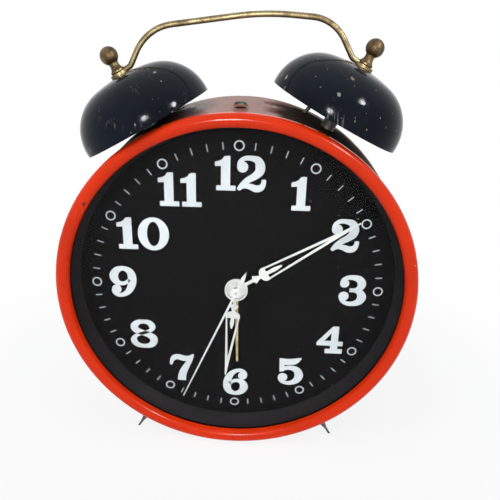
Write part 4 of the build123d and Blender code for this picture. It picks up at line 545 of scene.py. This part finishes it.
def relief(tree, shader, height, depth_mm, strength=1.0):
    """Bumps the surface by a height pattern."""
    node = tree.nodes.new("ShaderNodeBump")
    node.inputs["Strength"].default_value = strength
    node.inputs["Distance"].default_value = depth_mm * MM
    tree.links.new(height, node.inputs["Height"])
    tree.links.new(node.outputs["Normal"], shader.inputs["Normal"])


def stretched(tree, place, turn, stretch):
    """The same place, turned and drawn out, so that a pattern on it is longer one way."""
    node = tree.nodes.new("ShaderNodeMapping")
    node.inputs["Rotation"].default_value = (math.radians(turn), math.radians(turn * 0.6),
                                             math.radians(-turn))
    node.inputs["Scale"].default_value = (1.0, 1.0, 1.0 / stretch)
    tree.links.new(place, node.inputs["Vector"])
    return node.outputs["Vector"]


def chips(tree, place, cell_mm, size_share, kept):
    """Sparse ragged spots: one in some of the cells of a random mesh."""
    node = tree.nodes.new("ShaderNodeTexVoronoi")
    node.inputs["Scale"].default_value = 1000.0 / cell_mm
    tree.links.new(stretched(tree, place, cell_mm * 7, 1.9), node.inputs["Vector"])
    ragged = maths(tree, "ADD", node.outputs["Distance"],
                   maths(tree, "MULTIPLY", noise(tree, place, cell_mm / 9, 5, 0.7), size_share))
    spot = ramp(tree, ragged, size_share * 1.15, size_share * 1.0)
    split = tree.nodes.new("ShaderNodeSeparateColor")
    tree.links.new(node.outputs["Color"], split.inputs["Color"])
    chosen = maths(tree, "LESS_THAN", split.outputs["Red"], kept)
    depth = maths(tree, "MULTIPLY", chosen, ramp(tree, split.outputs["Blue"], 0.0, 1.0, 0.3, 1.0))
    return maths(tree, "MULTIPLY", spot, depth), split.outputs["Green"]


def scratches(tree, place, turn):
    """Fine hairline scratches that come and go."""
    lines = noise(tree, stretched(tree, place, turn, 24.0), 1.1, 2, 0.5)
    patches = ramp(tree, noise(tree, place, 15.0, 3), 0.54, 0.66)
    return maths(tree, "MULTIPLY", ramp(tree, lines, 0.62, 0.70), patches)


def gloss_enamel(name, colour, cloud_share, chip_colours, chip_sizes, gloss, offset):
    """Old gloss enamel: uneven colour, hazy scratches, and chips down to primer and steel.

    Returns the material, its tree, its shader and the socket of its colour.
    """
    material, tree, shader = finish_tree(name)
    place = surface_place(tree, offset)
    cloud = noise(tree, place, 34.0, 4)
    other = tuple(part * cloud_share for part in colour)
    coat = blend_colours(tree, ramp(tree, cloud, 0.35, 0.7), colour, other)
    bare = None
    for cell, size, kept in chip_sizes:
        spots, kind = chips(tree, place, cell, size, kept)
        primer = blend_colours(tree, ramp(tree, kind, 0.70, 0.74), chip_colours[0], chip_colours[1])
        coat = blend_colours(tree, spots, coat, primer)
        bare = spots if bare is None else maths(tree, "MAXIMUM", bare, spots)
    fine = maths(tree, "MAXIMUM", scratches(tree, place, 40.0), scratches(tree, place, -65.0))
    coat = blend_colours(tree, maths(tree, "MULTIPLY", fine, 0.3), coat, chip_colours[0])
    tree.links.new(coat, shader.inputs["Base Color"])
    haze = noise(tree, place, 9.0, 6, 0.7, 1.5)
    worn = maths(tree, "ADD", ramp(tree, haze, 0.45, 0.85, gloss, gloss + 0.22),
                 maths(tree, "MULTIPLY", bare, 0.35))
    tree.links.new(worn, shader.inputs["Roughness"])
    height = maths(tree, "SUBTRACT", maths(tree, "MULTIPLY", noise(tree, place, 9.0, 2), 0.5),
                   maths(tree, "MULTIPLY", bare, 0.9))
    relief(tree, shader, height, 0.08, 0.3)
    return material, tree, shader, coat


def tarnished_metal(name, bright, dull, cloud_mm, rough_low, rough_high, offset,
                    dull_from=0.42, dull_to=0.62):
    """Metal that has dulled in patches, with a fine grain in them."""
    material, tree, shader = finish_tree(name)
    place = surface_place(tree, offset)
    cloud = noise(tree, place, cloud_mm, 5, 0.62, 0.6)
    fine = noise(tree, place, cloud_mm * 0.12, 4, 0.7)
    patches = maths(tree, "ADD", maths(tree, "MULTIPLY", cloud, 0.75),
                    maths(tree, "MULTIPLY", fine, 0.25))
    share = ramp(tree, patches, dull_from, dull_to)
    tree.links.new(blend_colours(tree, share, bright, dull), shader.inputs["Base Color"])
    shader.inputs["Metallic"].default_value = 1.0
    roughness = maths(tree, "ADD", ramp(tree, share, 0.0, 1.0, rough_low, rough_high),
                      maths(tree, "MULTIPLY", fine, 0.08))
    tree.links.new(roughness, shader.inputs["Roughness"])
    relief(tree, shader, fine, 0.05, 0.3)
    return material


def listed_metal(name):
    """One of the metals in the table."""
    return tarnished_metal(name, *METALS[name])


def matt_paint(name, colour, speck, roughness, offset, sheen=0.3):
    """Flat paint with faint specks of dust."""
    material, tree, shader = finish_tree(name)
    place = surface_place(tree, offset)
    spots, _ = chips(tree, place, 6.0, 0.075, 0.6)
    cloud = ramp(tree, noise(tree, place, 20.0, 4), 0.3, 0.75)
    shade = blend_colours(tree, cloud, colour, tuple(part * 0.86 for part in colour))
    tree.links.new(blend_colours(tree, spots, shade, speck), shader.inputs["Base Color"])
    tree.links.new(ramp(tree, noise(tree, place, 1.2, 4), 0.2, 0.8, roughness, roughness + 0.12),
                   shader.inputs["Roughness"])
    shader.inputs["Specular IOR Level"].default_value = sheen
    return material


def pane_glass(name):
    """Clear flat glass with a little dust; lamps shine straight through it."""
    material, tree, shader = finish_tree(name)
    place = surface_place(tree, 3.1)
    shader.inputs["Transmission Weight"].default_value = 1.0
    shader.inputs["IOR"].default_value = 1.10
    shader.inputs["Base Color"].default_value = (0.97, 0.98, 0.98, 1.0)
    dust = ramp(tree, noise(tree, place, 30.0, 5), 0.45, 0.8, 0.0, 0.03)
    tree.links.new(dust, shader.inputs["Roughness"])
    clear = tree.nodes.new("ShaderNodeBsdfTransparent")
    clear.inputs["Color"].default_value = (0.95, 0.96, 0.96, 1.0)
    ray = tree.nodes.new("ShaderNodeLightPath")
    mix_shaders(tree, ray.outputs["Is Shadow Ray"], shader.outputs["BSDF"],
                clear.outputs["BSDF"], surface_output(tree))
    return material


def finish_node(node, material, bevel=0.0, segments=2):
    """Gives a CAD node its finish, and breaks its sharp edges."""
    piece = NODES[node]
    if not piece.material_slots:
        piece.data.materials.append(material)
    for slot in piece.material_slots:
        slot.material = material
    if bevel:
        edge = piece.modifiers.new("broken_edges", "BEVEL")
        edge.width = bevel
        edge.segments = segments
        edge.limit_method = "ANGLE"
        edge.angle_limit = math.radians(40)
        edge.harden_normals = True


# ---------------------------------------------------------------- operators
class CLOCK_OT_stage(bpy.types.Operator):
    """Lay the pale floor, hang the soft lamps and set the camera"""

    bl_idname = "clock.stage"
    bl_label = "Stage"

    def execute(self, context):
        settings = context.scene.clock_stage
        floor = new_piece("floor", self.floor_mesh(), self.floor_material(settings), smooth=False)
        for name, power, size, place in SOFT_LAMPS:
            lamp = self.lamp(name, getattr(settings, power), size, dial_point(*place))
            lamp.visible_glossy = False
        for name, share, size, place in GLINT_LAMPS:
            lamp = self.lamp(name, settings.glint_power * share, size, dial_point(*place))
            lamp.visible_diffuse = False
        self.world(context, settings)
        self.camera(context, settings)
        context.scene.view_settings.view_transform = "Standard"
        return {"FINISHED"}

    def floor_mesh(self):
        tools = bmesh.new()
        corners = [(-FLOOR_HALF, -FLOOR_HALF), (FLOOR_HALF, -FLOOR_HALF),
                   (FLOOR_HALF, FLOOR_HALF), (-FLOOR_HALF, FLOOR_HALF)]
        tools.faces.new([tools.verts.new((x, y, 0.0)) for x, y in corners])
        return tools

    def floor_material(self, settings):
        """Pale and matt near the clock, where it takes the shadow, and plain white further off."""
        material, tree, shader = finish_tree("pale_floor")
        place = surface_place(tree)
        pale = tuple(settings.floor_colour)
        cloud = ramp(tree, noise(tree, place, 60.0, 3), 0.3, 0.7)
        shade = blend_colours(tree, cloud, pale, tuple(part * 0.985 for part in pale))
        tree.links.new(shade, shader.inputs["Base Color"])
        shader.inputs["Roughness"].default_value = 0.9
        shader.inputs["Specular IOR Level"].default_value = 0.1
        white = tree.nodes.new("ShaderNodeEmission")
        white.inputs["Color"].default_value = WHITE
        white.inputs["Strength"].default_value = 1.0
        away = tree.nodes.new("ShaderNodeVectorMath")
        away.operation = "LENGTH"
        tree.links.new(place, away.inputs[0])
        far = ramp(tree, away.outputs["Value"], *FLOOR_FADE, settings.floor_whiteness, 1.0)
        share = maths(tree, "MULTIPLY", far, seen_rays(tree))
        mix_shaders(tree, share, shader.outputs["BSDF"], white.outputs["Emission"],
                    surface_output(tree))
        return material

    def lamp(self, name, power, size, place):
        """A round soft lamp aimed at the middle of the dial."""
        data = bpy.data.lights.new(name, "AREA")
        data.energy = power
        data.shape = "DISK"
        data.size = size
        lamp = bpy.data.objects.new(name, data)
        lamp.location = place
        aim = (dial_point(*LAMP_AIM) - Vector(place)).to_track_quat("-Z", "Y")
        lamp.rotation_mode = "QUATERNION"
        lamp.rotation_quaternion = aim
        bpy.context.scene.collection.objects.link(lamp)
        return lamp

    def world(self, context, settings):
        """Soft cool light from all round; the camera, gloss and glass see plain white instead."""
        world = bpy.data.worlds.new("studio")
        context.scene.world = world
        world.use_nodes = True
        tree = world.node_tree
        tree.nodes.clear()
        output = tree.nodes.new("ShaderNodeOutputWorld")
        backdrop = tree.nodes.new("ShaderNodeBackground")
        backdrop.inputs["Color"].default_value = WHITE
        backdrop.inputs["Strength"].default_value = 1.0
        room = tree.nodes.new("ShaderNodeBackground")
        room.inputs["Color"].default_value = ROOM_COLOUR
        room.inputs["Strength"].default_value = settings.room_strength
        mix_shaders(tree, seen_rays(tree), room.outputs["Background"],
                    backdrop.outputs["Background"], output)

    def camera(self, context, settings):
        """The camera stands in front of the clock, a little right of it and above, looking down."""
        data = bpy.data.cameras.new("camera")
        data.lens = settings.camera_lens
        data.sensor_width = SENSOR_WIDTH
        data.shift_x, data.shift_y = CAMERA_SHIFT
        data.clip_start = CAMERA_NEAR
        camera = bpy.data.objects.new("camera", data)
        camera.location = dial_point(*CAMERA_PLACE)
        camera.rotation_euler = [math.radians(turn) for turn in CAMERA_TURN]
        context.scene.collection.objects.link(camera)
        context.scene.camera = camera


class CLOCK_OT_case(bpy.types.Operator):
    """Enamel the drum, the bezel and the back cover"""

    bl_idname = "clock.case"
    bl_label = "Case"

    def execute(self, context):
        colours = context.scene.clock_colours
        sizes = context.scene.clock_sizes
        red, _, shader, _ = gloss_enamel(
            "bezel_enamel", tuple(colours.bezel_enamel), cloud_share=0.86,
            chip_colours=RED_PRIMERS, chip_sizes=RED_CHIPS, gloss=0.15, offset=0.0)
        shader.inputs["Specular IOR Level"].default_value = 0.15
        finish_node("bezel", red, sizes.edge_break)
        # Painted shade: the drum and its back take a much darker copy of the bezel's red.
        drum, tree, shader, coat = gloss_enamel(
            "drum_enamel", tuple(colours.drum_enamel), cloud_share=0.75,
            chip_colours=RED_PRIMERS, chip_sizes=RED_CHIPS, gloss=0.20, offset=1.0)
        open_top, painted_shade = self.top_of_drum(tree)
        # Painted reflection with dust: the top of the drum is paler.
        coat = blend_colours(tree, open_top, coat, tuple(colours.drum_sheen_and_dust))
        # Painted shade under the bells, which is also made rougher below.
        coat = blend_colours(tree, painted_shade, coat, tuple(colours.drum_painted_shade))
        coat = blend_colours(tree, self.faces_inwards(tree), coat, tuple(colours.drum_inside))
        tree.links.new(coat, shader.inputs["Base Color"])
        shader.inputs["Specular IOR Level"].default_value = 0.03
        shine = shader.inputs["Roughness"].links[0].from_socket
        dulled = maths(tree, "MULTIPLY", painted_shade, PAINTED_SHADE_ROUGHNESS)
        tree.links.new(maths(tree, "ADD", shine, dulled), shader.inputs["Roughness"])
        for node in ("case_shell", "back_cover"):
            finish_node(node, drum, sizes.edge_break)
        self.top_stud(drum)
        return {"FINISHED"}

    def top_of_drum(self, tree):
        """Shares of a paler top between the bells, painted reflection with dust, and of painted
        shade on the drum below the bells.
        """
        surface = tree.nodes.new("ShaderNodeNewGeometry")
        offset = tree.nodes.new("ShaderNodeVectorMath")
        offset.operation = "SUBTRACT"
        tree.links.new(surface.outputs["Position"], offset.inputs[0])
        offset.inputs[1].default_value = dial_point(0, 0, 0)
        split = tree.nodes.new("ShaderNodeSeparateXYZ")
        tree.links.new(offset.outputs["Vector"], split.inputs["Vector"])
        place = surface_place(tree, 2.0)
        ragged = ramp(tree, noise(tree, place, 16.0, 5, 0.6), 0.3, 0.7, -RAGGED_EDGE, RAGGED_EDGE)
        sideways = maths(tree, "ADD", split.outputs["X"], ragged)
        # Painted shade: dark brown to the right and left under the bells, on the upper front of the
        # drum.
        right = ramp(tree, sideways, *PAINTED_SHADE_RIGHT)
        left = ramp(tree, sideways, *PAINTED_SHADE_LEFT)
        top = ramp(tree, maths(tree, "ADD", split.outputs["Z"], ragged), *PAINTED_SHADE_HEIGHT)
        facing = tree.nodes.new("ShaderNodeSeparateXYZ")
        tree.links.new(surface.outputs["Normal"], facing.inputs["Vector"])
        wall = maths(tree, "LESS_THAN", facing.outputs["Y"], WALL_FACING)
        forward = ramp(tree, maths(tree, "ADD", split.outputs["Y"], ragged), *PAINTED_SHADE_DEPTH)
        top = maths(tree, "MULTIPLY", maths(tree, "MULTIPLY", top, wall), forward)
        painted_shade = maths(tree, "MULTIPLY", maths(tree, "MAXIMUM", right, left), top)
        # Painted reflection with dust, high on the drum.
        mottled = ramp(tree, noise(tree, place, 7.0, 5, 0.65), 0.3, 0.7, *TOP_SHEEN_AND_DUST_SHARE)
        high = maths(tree, "MULTIPLY", ramp(tree, split.outputs["Z"], *TOP_SHEEN_AND_DUST_HEIGHT), wall)
        sheened = maths(tree, "MULTIPLY", high, mottled)
        return sheened, maths(tree, "MULTIPLY", painted_shade, PAINTED_SHADE_SHARE)

    def top_stud(self, drum):
        """A low grey stud in an enamelled collar, over the hole on top of the drum."""
        top = NODES["case_shell"]
        height = max((top.matrix_world @ Vector(corner)).z for corner in top.bound_box)
        middle = dial_point(0, STUD_Y, 0)
        middle.z = height - STUD_SINK * MM
        stud = turned("top_stud", middle, STUD_PROFILE, listed_metal("stud_zinc"))
        collar = turned("top_collar", middle, COLLAR_PROFILE, drum)
        for piece, slot in ((stud, "plated_steel"), (collar, "red_enamel")):
            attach(piece, "case")

    def faces_inwards(self, tree):
        """One where the drum's wall looks towards the movement, nought outside."""
        surface = tree.nodes.new("ShaderNodeNewGeometry")
        middle = tree.nodes.new("ShaderNodeVectorMath")
        middle.operation = "SUBTRACT"
        tree.links.new(surface.outputs["Position"], middle.inputs[0])
        middle.inputs[1].default_value = dial_point(0, DRUM_MIDDLE_Y, 0)
        facing = tree.nodes.new("ShaderNodeVectorMath")
        facing.operation = "DOT_PRODUCT"
        tree.links.new(middle.outputs["Vector"], facing.inputs[0])
        tree.links.new(surface.outputs["Normal"], facing.inputs[1])
        return maths(tree, "LESS_THAN", facing.outputs["Value"], 0.0)


class CLOCK_OT_bells(bpy.types.Operator):
    """Enamel the bells and finish what stands inside them"""

    bl_idname = "clock.bells"
    bl_label = "Bells"

    def execute(self, context):
        colours = context.scene.clock_colours
        sizes = context.scene.clock_sizes
        black, tree, shader, coat = gloss_enamel(
            "bell_enamel", tuple(colours.bell_enamel), cloud_share=1.8,
            chip_colours=BLACK_PRIMERS, chip_sizes=BLACK_CHIPS, gloss=0.075, offset=5.0)
        shader.inputs["Specular IOR Level"].default_value = 0.07
        # Dust and painted sheen: the bells' upper faces are lighter and greener.
        haze = maths(tree, "MULTIPLY", self.faces_up(tree), BELL_DUST_AND_SHEEN_SHARE)
        bell_dust_and_sheen = blend_colours(tree, haze, coat, BELL_DUST_AND_SHEEN_COLOUR)
        tree.links.new(bell_dust_and_sheen, shader.inputs["Base Color"])
        for node in ("left_bell", "right_bell"):
            finish_node(node, black, sizes.edge_break)
        steel = listed_metal("dull_steel")
        for node in BELL_STEEL_NODES:
            finish_node(node, steel)
        finish_node("hammer_heads", listed_metal("hammer_brass"))
        return {"FINISHED"}

    def faces_up(self, tree):
        """One where the enamel looks up and takes dust and a painted sheen, nought where it looks
        level or down.
        """
        surface = tree.nodes.new("ShaderNodeNewGeometry")
        split = tree.nodes.new("ShaderNodeSeparateXYZ")
        tree.links.new(surface.outputs["Normal"], split.inputs["Vector"])
        return ramp(tree, split.outputs["Z"], 0.35, 0.95)


class CLOCK_OT_handle(bpy.types.Operator):
    """Tarnish the handle and its ball nuts"""

    bl_idname = "clock.handle"
    bl_label = "Handle"

    def execute(self, context):
        colours = context.scene.clock_colours
        sizes = context.scene.clock_sizes
        tarnish = tuple(colours.brass_tarnish)
        brass = tarnished_metal(
            "old_brass", tuple(colours.old_brass), tarnish,
            cloud_mm=11.0, rough_low=0.36, rough_high=0.52, offset=2.0)
        dark_brass = tarnished_metal(
            "dark_brass", tuple(part * 0.62 for part in colours.old_brass), tarnish,
            cloud_mm=8.0, rough_low=0.30, rough_high=0.5, offset=4.0, dull_from=0.36, dull_to=0.56)
        finish_node("carry_handle", brass, sizes.edge_break)
        finish_node("finials", dark_brass, sizes.edge_break)
        return {"FINISHED"}


class CLOCK_OT_feet(bpy.types.Operator):
    """Darken the turned feet"""

    bl_idname = "clock.feet"
    bl_label = "Feet"

    def execute(self, context):
        finish_node("front_feet", listed_metal("dark_steel"))
        return {"FINISHED"}


class CLOCK_OT_dial(bpy.types.Operator):
    """Lacquer the dial and print its numerals, hour rings and minute marks"""

    bl_idname = "clock.dial"
    bl_label = "Dial"

    def execute(self, context):
        colours = context.scene.clock_colours
        sizes = context.scene.clock_sizes
        finish_node("dial", matt_paint(
            "dial_lacquer", tuple(colours.dial_lacquer), speck=(0.30, 0.30, 0.29),
            roughness=0.55, offset=9.0, sheen=0.02))
        finish_node("rehaut_ring", matt_paint(
            "ring_black", (0.010, 0.009, 0.010), speck=(0.2, 0.18, 0.17),
            roughness=0.5, offset=10.0, sheen=0.1))
        white = matt_paint("print_white", tuple(colours.print_white), speck=(0.45, 0.46, 0.47),
                           roughness=0.5, offset=11.0)
        paint = sizes.paint_thickness
        tools = bmesh.new()
        for figures, x, z in HOURS.values():
            for figure, offset, stretch in figures:
                add_figure(tools, figure, (x + offset, z), stretch, DIAL_FACE, paint)
        self.ride(new_piece("numerals", tools, white, smooth=False))
        tools = bmesh.new()
        circle = sizes.ring_circle / MM
        radius = sizes.hour_ring_radius / MM
        line = sizes.hour_ring_line / MM
        for hour in range(12):
            add_ring(tools, on_circle(circle, 30 * hour), radius, radius, line, line,
                     DIAL_FACE, paint)
        self.ride(new_piece("hour_rings", tools, white, smooth=False))
        tools = bmesh.new()
        half = sizes.minute_mark_width / MM / 2
        length = sizes.minute_mark_length / MM / 2
        for minute in range(60):
            if minute % 5:
                bearing = 6 * minute
                skew = math.degrees(half / circle)
                corners = [on_circle(circle - length, bearing - skew),
                           on_circle(circle + length, bearing - skew),
                           on_circle(circle + length, bearing + skew),
                           on_circle(circle - length, bearing + skew)]
                add_polygon(tools, corners, DIAL_FACE, paint)
        self.ride(new_piece("minute_marks", tools, white, smooth=False))
        return {"FINISHED"}

    def ride(self, piece):
        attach(piece, "case")


class CLOCK_OT_hands(bpy.types.Operator):
    """Paint the hands"""

    bl_idname = "clock.hands"
    bl_label = "Hands"

    def execute(self, context):
        colours = context.scene.clock_colours
        white = matt_paint("hand_white", tuple(colours.hand_white), speck=(0.35, 0.34, 0.33),
                           roughness=0.32, offset=12.0)
        for node in ("hour_hand", "minute_hand", "second_hand"):
            finish_node(node, white, HAND_EDGE * MM)
        self.hub_washer(white)
        finish_node("alarm_hand", listed_metal("hand_brass"), HAND_EDGE * MM)
        return {"FINISHED"}

    def hub_washer(self, white):
        """A thin painted washer in the dish of the minute hand's hub, over the end of its pipe."""
        front = (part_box("cannon_pinion")[0][1] - DIAL_MIDDLE.y) / MM
        tools = bmesh.new()
        add_ring(tools, (0.0, 0.0), WASHER_RADIUS, WASHER_RADIUS, WASHER_WIDTH, WASHER_WIDTH,
                 front - WASHER_LIFT, WASHER_THICKNESS * MM)
        washer = new_piece("hub_washer", tools, white, smooth=False)
        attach(washer, "minute")


class CLOCK_OT_glass(bpy.types.Operator):
    """Glaze the dial"""

    bl_idname = "clock.glass"
    bl_label = "Glass"

    def execute(self, context):
        finish_node("crystal", pane_glass("clear_glass"))
        return {"FINISHED"}


class CLOCK_OT_back(bpy.types.Operator):
    """Finish the keys, knobs and screws on the back"""

    bl_idname = "clock.back"
    bl_label = "Back"

    def execute(self, context):
        sizes = context.scene.clock_sizes
        plated = listed_metal("key_plating")
        for node in BACK_NODES:
            finish_node(node, plated, sizes.edge_break)
        return {"FINISHED"}


class CLOCK_OT_movement(bpy.types.Operator):
    """Finish the brass wheels, steel arbors and springs inside"""

    bl_idname = "clock.movement"
    bl_label = "Movement"

    def execute(self, context):
        slots = {"movement_brass": listed_metal("wheel_brass"),
                 "plated_steel": listed_metal("arbor_steel"),
                 "spring_steel": listed_metal("spring_steel")}
        done = {*BELL_STEEL_NODES, "hammer_heads", *BACK_NODES}
        for part in frame["record"]["subparts"]:
            if part["material_slot"] in slots and part["node"] not in done:
                finish_node(part["node"], slots[part["material_slot"]])
        return {"FINISHED"}


class CLOCK_PT_panel(bpy.types.Panel):
    """The clock's sizes, colours and steps"""

    bl_idname = "CLOCK_PT_panel"
    bl_label = "Twin-bell clock"
    bl_space_type = "VIEW_3D"
    bl_region_type = "UI"
    bl_category = "Clock"

    def draw(self, context):
        layout = self.layout
        scene = context.scene
        for settings in (scene.clock_sizes, scene.clock_colours, scene.clock_stage):
            box = layout.box()
            for key in settings.__annotations__:
                box.prop(settings, key)
        for step in STEPS:
            layout.operator(step.bl_idname)


STEPS = (CLOCK_OT_stage, CLOCK_OT_case, CLOCK_OT_bells, CLOCK_OT_handle, CLOCK_OT_feet,
         CLOCK_OT_dial, CLOCK_OT_hands, CLOCK_OT_glass, CLOCK_OT_back, CLOCK_OT_movement)
CLASSES = (ClockSizes, ClockColours, StageSettings) + STEPS + (CLOCK_PT_panel,)


def register():
    for item in CLASSES:
        bpy.utils.register_class(item)
    bpy.types.Scene.clock_sizes = bpy.props.PointerProperty(type=ClockSizes)
    bpy.types.Scene.clock_colours = bpy.props.PointerProperty(type=ClockColours)
    bpy.types.Scene.clock_stage = bpy.props.PointerProperty(type=StageSettings)


def unregister():
    del bpy.types.Scene.clock_stage
    del bpy.types.Scene.clock_colours
    del bpy.types.Scene.clock_sizes
    for item in reversed(CLASSES):
        bpy.utils.unregister_class(item)


def main():
    register()
    bpy.ops.clock.stage()
    bpy.ops.clock.case()
    bpy.ops.clock.bells()
    bpy.ops.clock.handle()
    bpy.ops.clock.feet()
    bpy.ops.clock.dial()
    bpy.ops.clock.hands()
    bpy.ops.clock.glass()
    bpy.ops.clock.back()
    bpy.ops.clock.movement()


if __name__ == "__main__":
    main()
